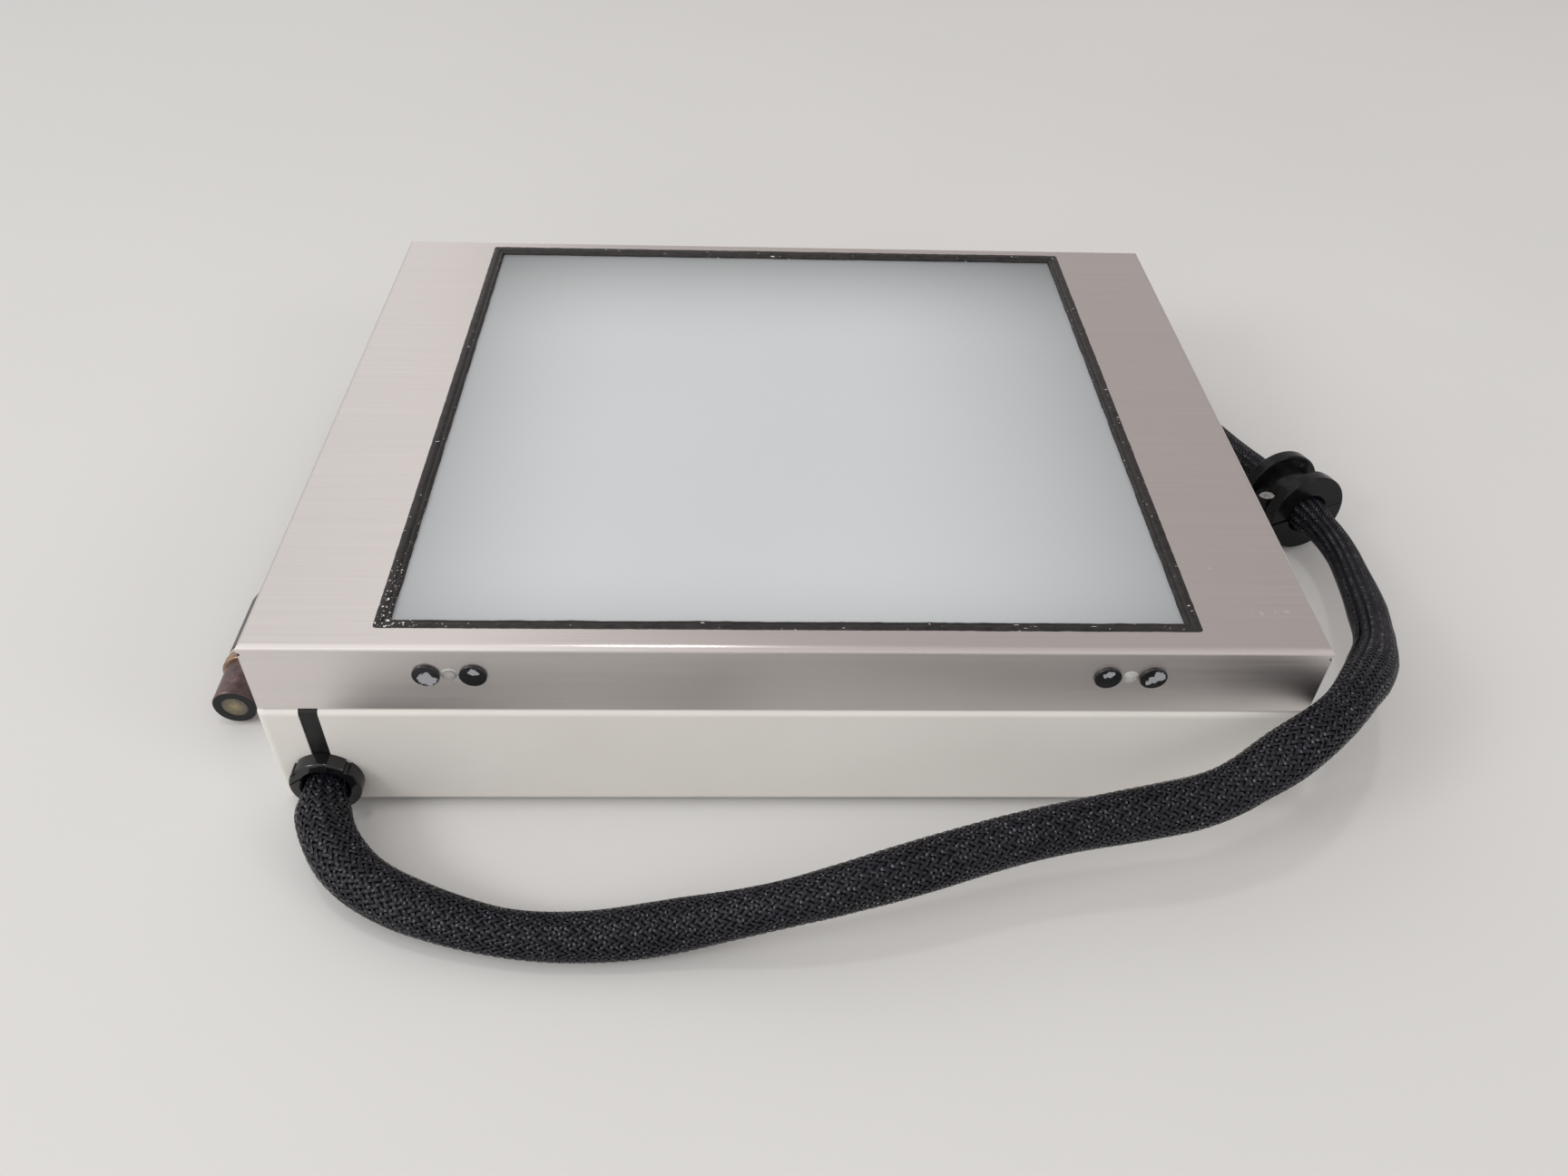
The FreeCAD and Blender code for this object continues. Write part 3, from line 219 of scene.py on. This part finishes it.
def make_braid(points):
    """The woven sleeve: flat bands in a 2/2 herringbone. Its UVs go across a band and with its height."""
    along, centre, side, lift = resample(points, BRAID_STEP)
    lay = np.interp(along, LAY[:, 0], LAY[:, 1])
    turns = np.r_[0, np.cumsum(np.diff(along) * 0.5 * (1 / lay[1:] + 1 / lay[:-1]))]
    phase = np.linspace(0, turns[-1], int(turns[-1] / PHASE_STEP) + 1)
    centre, side, lift = [read_rows(phase, turns, part) for part in (centre, side, lift)]
    along = np.interp(phase, turns, along)
    s = along / MM
    # The whole weave wanders slowly round the guide, in radians
    twist = 0.25 * np.sin(s / 210.0) + 0.1 * np.sin(s / 63.0)
    n = len(along)
    verts = []
    faces = []
    uvs = []
    for way in (1, -1):
        for k in range(STRANDS):
            u = k + way * phase
            theta = 2 * np.pi * u / STRANDS + twist
            weave = way * np.clip(WEAVE_FLAT * np.cos(np.pi * (u - 0.25)), -1, 1)
            radius = sleeve_radius(along, theta)
            wander = 1.0 + SHARE_WANDER * np.sin(k * 12.9 + s / 11.0)
            across = SHARE * 2 * np.pi / STRANDS * wander
            first = len(verts) * n
            for offset in (-0.5, 0.0, 0.5):
                edge = abs(offset) * 2
                lean = (1 - edge) * CROWN - edge * EDGE_DROP
                angle = theta + offset * across * way
                height = radius + FLOAT_H * weave + lean
                verts.append(ring_points(centre, side, lift, angle, height))
                uvs.append(np.stack([np.full(n, offset + 0.5), 0.5 + 0.5 * weave], axis=1))
            for row in (first, first + n):
                faces.append(strip_faces(row, row + n, n))
    return mesh_object("light_guide_braid", np.vstack(verts), np.vstack(faces), np.vstack(uvs))


def make_core(points):
    """The dark bundle seen between the bands."""
    along, centre, side, lift = resample(points, CORE_STEP)
    n = len(along)
    verts = []
    faces = []
    for j in range(CORE_AROUND):
        angle = np.full(n, 2 * np.pi * j / CORE_AROUND)
        verts.append(ring_points(centre, side, lift, angle, sleeve_radius(along, angle) - CORE_IN))
        faces.append(strip_faces(j * n, ((j + 1) % CORE_AROUND) * n, n))
    return mesh_object("light_guide_core", np.vstack(verts), np.vstack(faces))


def bead_path():
    """Points round the cut-out's edge at close steps, each with the direction outwards."""
    path = []
    for cx, cy, start in ((1, 1, 0), (-1, 1, 90), (-1, -1, 180), (1, -1, 270)):
        for i in range(CORNER_PARTS + 1):
            a = math.radians(start + 90 / CORNER_PARTS * i)
            x = cx * (BEAD_HALF_W - BEAD_CORNER) + BEAD_CORNER * math.cos(a)
            y = cy * (BEAD_HALF_D - BEAD_CORNER) + BEAD_CORNER * math.sin(a)
            path.append((x, y, math.cos(a), math.sin(a)))
    dense = []
    for p, q in zip(path, path[1:] + path[:1]):
        parts = max(1, int(math.hypot(q[0] - p[0], q[1] - p[1]) / BEAD_STEP))
        for i in range(parts):
            t = i / parts
            x, y, nx, ny = [a + (b - a) * t for a, b in zip(p, q)]
            length = math.hypot(nx, ny)
            dense.append((x, y, nx / length, ny / length))
    return dense


def waver(x, y, fineness, layer):
    """Smooth noise along the bead, about -1 to 1."""
    return noise.noise(Vector((x * fineness, y * fineness, layer)))


def make_bead():
    """The silicone fillet round the window: a hand-drawn bead, a little uneven all round."""
    path = bead_path()
    m = len(BEAD_PROFILE)
    verts = []
    faces = []
    for i, (x, y, nx, ny) in enumerate(path):
        for j, (out, z) in enumerate(BEAD_PROFILE):
            edge = j in (0, m - 1)
            out += waver(x, y, 0.09, 3.1 * j) * (0.3 if j >= FOOT_FROM else 0.12)
            out += waver(x, y, 0.55, 7.7 + j) * (0.16 if edge else 0.08)
            if not edge:
                z += 0.16 * waver(x, y, 0.3, 20.0 + 2 * j)
            verts.append(((x + nx * out) * MM, (y + ny * out + BEAD_Y) * MM, z * MM))
        for j in range(m - 1):
            a = i * m + j
            b = ((i + 1) % len(path)) * m + j
            faces.append((a, b, b + 1, a + 1))
    bead = mesh_object("window_bead_silicone", verts, faces)
    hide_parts("window_bead")
    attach(bead, "cover")
    return bead


class Graph:
    """Short names for the nodes that the materials use."""

    INPUTS = {"metal": "Metallic", "spec": "Specular IOR Level", "aniso": "Anisotropic", "ior": "IOR",
              "trans": "Transmission Weight", "coat": "Coat Weight", "coat_rough": "Coat Roughness"}

    def __init__(self, name):
        self.mat = bpy.data.materials.new(name)
        self.mat.use_nodes = True
        self.tree = self.mat.node_tree
        self.shader = self.tree.nodes["Principled BSDF"]
        self.place = self.add("ShaderNodeTexCoord").outputs["Object"]

    def add(self, kind, **settings):
        node = self.tree.nodes.new(kind)
        for key, value in settings.items():
            setattr(node, key, value)
        return node

    def link(self, source, target):
        self.tree.links.new(source, target)

    def set(self, **values):
        for key, value in values.items():
            self.shader.inputs[self.INPUTS[key]].default_value = value

    def scaled(self, x, y, z):
        node = self.add("ShaderNodeMapping")
        node.inputs["Scale"].default_value = (x, y, z)
        self.link(self.place, node.inputs["Vector"])
        return node.outputs["Vector"]

    def noise(self, scale, detail, rough, vector=None):
        node = self.add("ShaderNodeTexNoise")
        node.inputs["Scale"].default_value = scale
        node.inputs["Detail"].default_value = detail
        node.inputs["Roughness"].default_value = rough
        self.link(vector or self.place, node.inputs["Vector"])
        return node.outputs["Fac"]

    def ramp(self, factor, *stops):
        node = self.add("ShaderNodeValToRGB")
        fill_ramp(node.color_ramp, stops)
        self.link(factor, node.inputs["Fac"])
        return node.outputs["Color"]

    def remap(self, value, low, high, to_low, to_high):
        node = self.add("ShaderNodeMapRange")
        fill_range(node, low, high, to_low, to_high)
        self.link(value, node.inputs["Value"])
        return node.outputs["Result"]

    def math(self, operation, *values):
        node = self.add("ShaderNodeMath", operation=operation)
        for socket, value in zip(node.inputs, values):
            if isinstance(value, float):
                socket.default_value = value
            else:
                self.link(value, socket)
        return node.outputs["Value"]

    def chain(self, operation, values):
        """One value from several, taken two at a time."""
        return reduce(lambda a, b: self.math(operation, a, b), values)

    def mix(self, factor, a, b, kind="RGBA"):
        node = self.add("ShaderNodeMix", data_type=kind)
        for name, value in (("Factor", factor), ("A", a), ("B", b)):
            socket = next(s for s in node.inputs if s.name == name and s.enabled)
            if isinstance(value, tuple):
                socket.default_value = (*value, 1.0)
            else:
                self.link(value, socket)
        return next(s for s in node.outputs if s.enabled)

    def axes(self, source=None):
        node = self.add("ShaderNodeSeparateXYZ")
        self.link(source or self.place, node.inputs[0])
        return node.outputs

    def near(self, point, size):
        """1 at a point of the object, falling to 0 at a distance of size."""
        node = self.add("ShaderNodeVectorMath", operation="DISTANCE")
        self.link(self.place, node.inputs[0])
        node.inputs[1].default_value = point
        return self.remap(node.outputs["Value"], 0.0, size, 1.0, 0.0)

    def bump(self, height, strength, distance):
        node = self.add("ShaderNodeBump")
        node.inputs["Strength"].default_value = strength
        node.inputs["Distance"].default_value = distance
        self.link(height, node.inputs["Height"])
        self.link(node.outputs["Normal"], self.shader.inputs["Normal"])

    def color(self, socket):
        self.link(socket, self.shader.inputs["Base Color"])

    def rough(self, socket):
        self.link(socket, self.shader.inputs["Roughness"])


def fill_ramp(ramp, stops):
    while len(ramp.elements) < len(stops):
        ramp.elements.new(0.5)
    for element, (position, color) in zip(ramp.elements, stops):
        element.position = position
        element.color = (*color, 1.0)


def fill_range(node, *numbers):
    for name, number in zip(("From Min", "From Max", "To Min", "To Max"), numbers):
        node.inputs[name].default_value = number


def steel_look():
    """Steel brushed along x, on the side skirts along z, with a few torn scratches at the front right, and
    painted light: faces turned to the front are painted a paler tone.
    """
    g = Graph("brushed_steel")
    g.set(metal=1.0, aniso=0.8)
    facing = g.axes(g.add("ShaderNodeNewGeometry").outputs["Normal"])
    sideways = g.math("GREATER_THAN", g.math("ABSOLUTE", facing["X"]), 0.7)
    along_x = g.scaled(9.0, 1500.0, 1500.0)
    along_z = g.scaled(1500.0, 1500.0, 9.0)
    grain = g.noise(1.0, 4.0, 0.65, g.mix(sideways, along_x, along_z, "VECTOR"))
    cloud = g.noise(14.0, 2.0, 0.5)
    tone = g.ramp(grain, (0.25, (0.57, 0.533, 0.515)), (0.75, (0.645, 0.603, 0.585)))
    clouded = g.mix(g.remap(cloud, 0.3, 0.7, 0.0, 0.16), tone, (0.60, 0.57, 0.55))
    # Painted light: faces turned to the front are mixed 38% towards a pale steel tone.
    front = g.math("MULTIPLY", g.math("LESS_THAN", facing["Y"], -0.8), 0.38)
    steel_with_painted_front = g.mix(front, clouded, (0.86, 0.82, 0.80))
    torn = g.noise(1.0, 2.0, 0.6, g.scaled(420.0, 3200.0, 3200.0))
    marks = g.chain("MAXIMUM", [g.near((x, y, 0.0786), size) for x, y, size in (
        (0.1531, -0.1189, 0.0014), (0.1562, -0.1188, 0.0021), (0.1608, -0.1183, 0.0015),
        (0.1647, -0.1180, 0.0026), (0.145, -0.0961, 0.0015))])
    scratch = g.math("GREATER_THAN", g.math("MULTIPLY", marks, torn), 0.36)
    g.color(g.mix(scratch, steel_with_painted_front, (0.70, 0.69, 0.68)))
    g.rough(g.remap(grain, 0.25, 0.75, 0.27, 0.32))
    g.bump(grain, 0.035, 0.0004)
    tangent = g.add("ShaderNodeCombineXYZ")
    tangent.inputs["Y"].default_value = 1.0
    g.link(g.math("SUBTRACT", 1.0, sideways), tangent.inputs["Z"])
    g.link(tangent.outputs[0], g.shader.inputs["Tangent"])
    return g.mat


def paint_look():
    g = Graph("ivory_paint")
    g.set(spec=0.45)
    peel = g.noise(900.0, 2.0, 0.5)
    cloud = g.noise(22.0, 3.0, 0.5)
    g.color(g.ramp(cloud, (0.3, (0.65, 0.632, 0.598)), (0.7, (0.68, 0.662, 0.628))))
    g.rough(g.remap(cloud, 0.3, 0.7, 0.38, 0.48))
    g.bump(peel, 0.12, 0.0002)
    return g.mat


def glass_look():
    """Frosted glass, lighter in the middle, with painted shade that darkens it towards the back and the
    sides, near the frame.
    """
    g = Graph("frosted_glass")
    g.set(spec=0.5)
    place = g.axes()
    # Painted shade: near each rim the glass is mixed towards near-black, most at the back.
    painted_rim_shades = []
    for axis, rim, inside, drop in (("X", -0.1295, -0.06, 0.33), ("X", 0.1295, 0.02, 0.37),
                                    ("Y", 0.1263, 0.045, 0.52), ("Y", -0.1233, -0.092, 0.16)):
        outwards = g.math("SUBTRACT", 1.0, g.remap(place[axis], rim, inside, 0.0, 1.0))
        dark = g.math("MULTIPLY", g.math("POWER", outwards, 2.0), drop)
        painted_rim_shades.append(g.math("SUBTRACT", 1.0, dark))
    light = g.chain("MULTIPLY", painted_rim_shades)
    cloud = g.noise(9.0, 2.0, 0.5)
    middle = g.ramp(cloud, (0.3, (0.528, 0.552, 0.567)), (0.7, (0.543, 0.567, 0.582)))
    # The near-black here is the painted shade colour towards the rims.
    g.color(g.mix(light, (0.0, 0.012, 0.016), middle))
    frost = g.noise(2600.0, 2.0, 0.5)
    g.rough(g.remap(frost, 0.3, 0.7, 0.34, 0.44))
    g.bump(frost, 0.05, 0.0001)
    return g.mat


def plain_look(name, low, high, rough, scale, metal=0.0, bump=0.08, spec=0.5, stretch=None):
    """Two close tones mixed by noise, with a fine relief of the same noise."""
    g = Graph(name)
    g.set(metal=metal, spec=spec)
    fac = g.noise(scale, 4.0, 0.6, g.scaled(*stretch) if stretch else None)
    g.color(g.ramp(fac, (0.3, low), (0.7, high)))
    g.rough(g.remap(fac, 0.3, 0.7, max(0.04, rough - 0.05), rough + 0.06))
    g.bump(fac, bump, 0.0003)
    return g.mat


def bead_look():
    """Black silicone with white dust, most of it in the front left corner, and short pale fibres."""
    g = Graph("silicone_bead")
    g.set(spec=0.3)
    soft = g.noise(260.0, 4.0, 0.6)
    dust = g.noise(800.0, 2.0, 0.7)
    corner = g.near((-0.1315, -0.1265, 0.0785), 0.05)
    thick = g.math("SUBTRACT", 0.76, g.math("MULTIPLY", corner, 0.15))
    speck = g.math("GREATER_THAN", dust, thick)
    drawn = g.noise(1.0, 2.0, 0.5, g.scaled(260.0, 1900.0, 1900.0))
    fibre = g.math("GREATER_THAN", drawn, 0.735)
    base = g.ramp(soft, (0.3, (0.007, 0.006, 0.0063)), (0.7, (0.026, 0.022, 0.0215)))
    g.color(g.mix(g.math("MAXIMUM", speck, fibre), base, (0.85, 0.85, 0.84)))
    g.rough(g.remap(soft, 0.3, 0.7, 0.3, 0.5))
    g.bump(soft, 0.35, 0.0005)
    return g.mat


def magnet_look():
    """Black lacquer, worn through to grey in a few ragged patches."""
    g = Graph("magnet_lacquer")
    g.set(spec=0.55)
    ragged = g.noise(700.0, 3.0, 0.6)
    worn = g.chain("MAXIMUM", [g.near((x, -0.1378, z), size * 2.0) for x, z, size in (
        (-0.1171, 0.0651, 0.0029), (-0.1023, 0.0684, 0.0013), (-0.1010, 0.0679, 0.0009),
        (0.1033, 0.0684, 0.0014), (0.1021, 0.0679, 0.0011), (0.1194, 0.0679, 0.0020),
        (0.1180, 0.0662, 0.0018), (0.1168, 0.0648, 0.0012), (0.1208, 0.0668, 0.0010))])
    fac = g.math("GREATER_THAN", g.math("ADD", worn, g.remap(ragged, 0.0, 1.0, -0.4, 0.4)), 0.5)
    g.color(g.mix(fac, (0.010, 0.010, 0.011), (0.30, 0.31, 0.335)))
    g.rough(g.remap(fac, 0.0, 1.0, 0.22, 0.5))
    g.bump(fac, 0.4, 0.0002)
    return g.mat


def clear_look():
    """Clear soft plastic with painted light: a painted grey ring for the dark edge of its refraction, a
    painted bright rim highlight, and a lighter middle. The right one is milky.
    """
    g = Graph("clear_dome")
    g.set(trans=0.5, ior=1.47, coat=0.6, coat_rough=0.03)
    left_x, right_x, centre_z = 0.1099, 0.1106, 0.0664
    place = g.axes()
    right = g.math("GREATER_THAN", place["X"], 0.0)
    centre_x = g.math("ADD", left_x, g.math("MULTIPLY", right, right_x - left_x))
    across = g.math("SUBTRACT", g.math("ABSOLUTE", place["X"]), centre_x)
    up = g.math("SUBTRACT", place["Z"], centre_z)
    squares = g.math("ADD", g.math("MULTIPLY", across, across), g.math("MULTIPLY", up, up))
    away = g.math("SQRT", squares)
    fac = g.noise(400.0, 2.0, 0.5)
    middle = g.ramp(fac, (0.3, (0.50, 0.485, 0.475)), (0.7, (0.66, 0.65, 0.64)))
    # Painted light: a grey ring for the dark refracting edge, then a bright rim highlight.
    ring = g.mix(g.remap(away, 0.0016, 0.0021, 0.0, 1.0), middle, (0.30, 0.285, 0.28))
    painted_rim_ring = g.mix(g.remap(away, 0.0021, 0.0025, 0.0, 1.0), ring, (0.90, 0.90, 0.89))
    g.color(g.mix(g.math("MULTIPLY", right, 0.75), painted_rim_ring, (0.80, 0.80, 0.765)))
    g.rough(g.remap(fac, 0.3, 0.7, 0.06, 0.16))
    return g.mat


def braid_look():
    """Dark polyester filaments: fine grooves along each band, painted shade where a band lies under, and
    painted glints where it passes from under to over.
    """
    g = Graph("braid_filaments")
    uv = g.axes(g.add("ShaderNodeTexCoord").outputs["UV"])
    height = uv["Y"]
    groove = g.math("SINE", g.math("MULTIPLY", uv["X"], 25.0))
    dust = g.noise(500.0, 3.0, 0.6)
    cloud = g.noise(60.0, 2.0, 0.5)
    tone = g.ramp(cloud, (0.3, (0.006, 0.0055, 0.0095)), (0.7, (0.011, 0.0105, 0.016)))
    lit = g.mix(g.remap(dust, 0.64, 0.80, 0.0, 0.2), tone, (0.09, 0.088, 0.092))
    # Painted light: a glint where a band passes from under to over, and painted shade where it lies under.
    rising = g.remap(height, 0.3, 0.5, 0.0, 1.0)
    dive = g.math("MULTIPLY", rising, g.remap(height, 0.6, 0.85, 1.0, 0.0))
    sparkle = g.remap(g.noise(420.0, 2.0, 0.6), 0.47, 0.66, 0.0, 1.0)
    painted_glint = g.math("MULTIPLY", dive, sparkle)
    shade = g.mix(g.remap(height, 0.1, 0.8, 0.0, 1.0), (0.002, 0.002, 0.0025), lit)
    g.color(g.mix(painted_glint, shade, (0.14, 0.14, 0.165)))
    g.link(g.remap(height, 0.15, 0.85, 0.03, 0.22), g.shader.inputs["Specular IOR Level"])
    g.rough(g.remap(groove, -1.0, 1.0, 0.13, 0.20))
    g.bump(groove, 0.2, 0.00012)
    return g.mat


def barrel_look():
    """Purple-brown heat-stained tube with a black rim at its open end."""
    g = Graph("barrel_patina")
    g.set(metal=0.75)
    cloud = g.noise(150.0, 4.0, 0.65)
    fine = g.noise(700.0, 3.0, 0.6)
    tone = g.ramp(cloud, (0.25, (0.045, 0.032, 0.038)), (0.5, (0.13, 0.085, 0.08)),
                  (0.75, (0.26, 0.17, 0.14)))
    stained = g.mix(g.remap(fine, 0.4, 0.7, 0.0, 0.5), tone, (0.05, 0.04, 0.05))
    rim = g.math("LESS_THAN", g.axes()["Y"], -0.09985)
    g.color(g.mix(rim, stained, (0.022, 0.024, 0.026)))
    g.rough(g.remap(cloud, 0.3, 0.7, 0.28, 0.5))
    g.bump(fine, 0.2, 0.0003)
    return g.mat


def face_look():
    """Polished bundle end with a painted golden glow in the middle, darker outwards, and the fibres' fine
    grain.
    """
    g = Graph("fibre_face")
    g.set(spec=0.6)
    # Painted glow: golden and brighter in the middle, falling off outwards.
    middle = g.near((-0.2042, -0.1000, 0.0097), 0.0062)
    cells = g.add("ShaderNodeTexVoronoi")
    cells.inputs["Scale"].default_value = 9000.0
    g.link(g.place, cells.inputs["Vector"])
    cloud = g.noise(420.0, 3.0, 0.6)
    fac = g.math("ADD", middle, g.remap(cloud, 0.3, 0.7, -0.12, 0.12))
    tone = g.ramp(fac, (0.1, (0.030, 0.030, 0.027)), (0.5, (0.085, 0.073, 0.045)),
                  (0.95, (0.24, 0.185, 0.10)))
    grain = g.remap(cells.outputs["Distance"], 0.0, 0.6, 0.0, 0.07)
    g.color(g.mix(grain, tone, (0.4, 0.33, 0.2)))
    g.rough(g.remap(cloud, 0.3, 0.7, 0.2, 0.34))
    g.bump(cells.outputs["Distance"], 0.1, 0.0001)
    return g.mat


def dress(names, mat):
    for name in names:
        slots = NODES[name].material_slots
        if slots:
            for slot in slots:
                slot.material = mat
        else:
            NODES[name].data.materials.append(mat)


# Materials with a look of their own: the piece and its look
OWN_LOOKS = (
    ("cover_shell", steel_look), ("base_tray", paint_look), ("window_panel", glass_look),
    ("lip_magnets", magnet_look), ("lip_bumpers", clear_look), ("ferrule_barrel", barrel_look),
    ("fibre_face", face_look))

# Plain materials: name, dark and light tone, roughness, noise scale, what else differs, their pieces
PLAIN_LOOKS = (
    ("opal_acrylic", (0.78, 0.78, 0.77), (0.83, 0.83, 0.82), 0.35, 40.0, {}, ("diffuser_panel",)),
    ("rail_steel", (0.50, 0.49, 0.48), (0.60, 0.59, 0.58), 0.38, 1.0,
     {"metal": 1.0, "stretch": (400.0, 9.0, 400.0)}, ("window_rails",)),
    ("bright_zinc", (0.55, 0.55, 0.54), (0.66, 0.66, 0.65), 0.28, 500.0, {"metal": 1.0},
     ("window_studs", "window_nuts", "strap_screws", "bar_screws", "tray_screws", "tray_standoffs")),
    ("foot_rubber", (0.016, 0.016, 0.017), (0.03, 0.03, 0.031), 0.62, 600.0, {}, ("rubber_feet",)),
    ("strip_rubber", (0.006, 0.006, 0.0065), (0.013, 0.013, 0.0135), 0.34, 300.0, {"spec": 0.25},
     ("slot_strip",)),
    ("plated_angle", (0.48, 0.48, 0.47), (0.58, 0.58, 0.57), 0.4, 90.0, {"metal": 1.0},
     ("locating_angles", "bar_brackets")),
    ("gland_nylon", (0.006, 0.006, 0.007), (0.010, 0.010, 0.011), 0.1, 160.0, {"bump": 0.05},
     ("gland_cap", "gland_saddle")),
    ("bushing_nylon", (0.004, 0.004, 0.0045), (0.008, 0.0078, 0.0082), 0.22, 220.0,
     {"bump": 0.06, "spec": 0.2}, ("bushing_upper", "bushing_lower")),
    ("screw_steel", (0.60, 0.59, 0.58), (0.74, 0.73, 0.72), 0.3, 700.0, {"metal": 0.5}, ("bushing_screws",)),
    ("boot_sleeve", (0.045, 0.042, 0.042), (0.09, 0.085, 0.082), 0.5, 260.0, {}, ("ferrule_boot",)),
    ("collar_metal", (0.46, 0.42, 0.38), (0.62, 0.58, 0.53), 0.3, 300.0, {"metal": 1.0}, ("ferrule_collar",)),
    ("ring_bronze", (0.20, 0.13, 0.09), (0.42, 0.29, 0.20), 0.38, 260.0, {"metal": 0.9}, ("ferrule_ring",)),
    ("reflector_white", (0.80, 0.80, 0.79), (0.85, 0.85, 0.84), 0.5, 30.0, {}, ("reflector_tray",)),
    ("bar_aluminium", (0.56, 0.56, 0.57), (0.64, 0.64, 0.65), 0.4, 1.0,
     {"metal": 1.0, "stretch": (300.0, 12.0, 300.0)}, ("line_bar_left", "line_bar_right")),
    ("fibre_lines", (0.62, 0.60, 0.52), (0.72, 0.70, 0.62), 0.18, 2500.0, {}, ("fibre_lines",)),
    ("leg_sheath", (0.02, 0.02, 0.022), (0.035, 0.035, 0.037), 0.5, 350.0, {},
     ("fibre_leg_left", "fibre_leg_right", "inner_bundle")),
    ("splitter_plastic", (0.028, 0.028, 0.03), (0.045, 0.045, 0.047), 0.45, 200.0, {},
     ("bundle_splitter", "splitter_cradle", "splitter_strap")))
CORE_LOOK = ("guide_core", (0.004, 0.004, 0.005), (0.009, 0.009, 0.01), 0.75, 400.0)

# The table: half its width in metres, and its squares in a row
FLOOR_HALF = 3.2
FLOOR_COUNT = 8

# Lamps: name, place, aim, width and height in metres, power in watts
LAMP_TINT = (1.0, 0.985, 0.96)
LAMPS = (
    ("ceiling", (-0.15, -0.1, 1.7), (0.0, -0.05, 0.0), (0.12, 0.08), 2.2),
    ("front_left", (-1.3, -0.9, 1.1), (0.0, -0.1, 0.0), (0.5, 0.5), 8.6),
    ("front_right", (1.3, -0.9, 1.1), (0.0, -0.1, 0.0), (0.5, 0.5), 3.6))

# The surround from left to right: place in the ramp, brightness, and green as a share of red
SURROUND_X = (-0.4, 0.5)
SURROUND = (
    (0.02, 0.83, 0.99), (0.15, 0.92, 0.99), (0.21, 0.92, 0.985), (0.25, 0.79, 0.975),
    (0.30, 0.64, 0.965), (0.36, 0.555, 0.95), (0.45, 0.525, 0.945), (0.65, 0.51, 0.94),
    (0.86, 0.505, 0.94), (0.96, 0.46, 0.94))
BLUE_LESS = 0.01
# Its glow high up in front: the direction, and strength 1.18 to 1.55 from 0.35 to 0.95 towards it
GLOW_AT = (-0.1, -0.75, 0.66)
GLOW = (0.35, 0.95, 1.18, 1.55)


def make_stage():
    row = FLOOR_COUNT + 1
    verts = [((i / FLOOR_COUNT - 0.5) * 2 * FLOOR_HALF, (j / FLOOR_COUNT - 0.5) * 2 * FLOOR_HALF, 0.0)
             for j in range(row) for i in range(row)]
    corners = [j * row + i for j in range(FLOOR_COUNT) for i in range(FLOOR_COUNT)]
    faces = [(a, a + 1, a + row + 1, a + row) for a in corners]
    floor = mesh_object("table_floor", verts, faces, smooth=False)
    g = Graph("table_white")
    g.set(spec=0.25)
    cloud = g.noise(3.0, 3.0, 0.5)
    g.color(g.ramp(cloud, (0.3, (0.612, 0.611, 0.603)), (0.7, (0.632, 0.631, 0.623))))
    g.rough(g.remap(cloud, 0.3, 0.7, 0.5, 0.6))
    floor.data.materials.append(g.mat)


def make_lamp(name, place, aim, size, power):
    data = bpy.data.lights.new(name, "AREA")
    data.shape = "RECTANGLE"
    data.size, data.size_y = size
    data.energy = power
    data.color = LAMP_TINT
    lamp = bpy.data.objects.new(name, data)
    lamp.location = place
    lamp.rotation_euler = (Vector(aim) - Vector(place)).to_track_quat("-Z", "Y").to_euler()
    bpy.context.scene.collection.objects.link(lamp)


def make_surround():
    """A soft surround, bright at the left, dimmer and pinkish at the right, with a glow high in front."""
    world = bpy.data.worlds.new("studio")
    bpy.context.scene.world = world
    world.use_nodes = True
    nodes = world.node_tree.nodes
    link = world.node_tree.links.new
    back = nodes["Background"]
    place = nodes.new("ShaderNodeTexCoord").outputs["Generated"]
    split = nodes.new("ShaderNodeSeparateXYZ")
    link(place, split.inputs[0])
    across = nodes.new("ShaderNodeMapRange")
    fill_range(across, *SURROUND_X)
    link(split.outputs["X"], across.inputs["Value"])
    ramp = nodes.new("ShaderNodeValToRGB")
    fill_ramp(ramp.color_ramp, [(position, (tone, tone * green, tone * (green - BLUE_LESS)))
                                for position, tone, green in SURROUND])
    link(across.outputs["Result"], ramp.inputs["Fac"])
    link(ramp.outputs["Color"], back.inputs["Color"])
    high = nodes.new("ShaderNodeVectorMath")
    high.operation = "DOT_PRODUCT"
    high.inputs[1].default_value = GLOW_AT
    link(place, high.inputs[0])
    glow = nodes.new("ShaderNodeMapRange")
    glow.interpolation_type = "SMOOTHSTEP"
    fill_range(glow, *GLOW)
    link(high.outputs["Value"], glow.inputs["Value"])
    link(glow.outputs["Result"], back.inputs["Strength"])


make_camera()
ROUTE = make_route()
BRAID = make_braid(ROUTE)
BRAID.data.materials.append(braid_look())
CORE = make_core(ROUTE)
CORE.data.materials.append(plain_look(*CORE_LOOK))
bpy.ops.object.select_all(action="DESELECT")
CORE.select_set(True)
BRAID.select_set(True)
bpy.context.view_layer.objects.active = BRAID
bpy.ops.object.join()
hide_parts("light_guide_sleeve")
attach(BRAID, "base")

BEAD = make_bead()
BEAD.data.materials.append(bead_look())

for piece, look in OWN_LOOKS:
    dress([piece], look())
for *settings, more, pieces in PLAIN_LOOKS:
    dress(pieces, plain_look(*settings, **more))

make_stage()
for lamp in LAMPS:
    make_lamp(*lamp)
make_surround()
bpy.context.scene.view_settings.view_transform = "Standard"
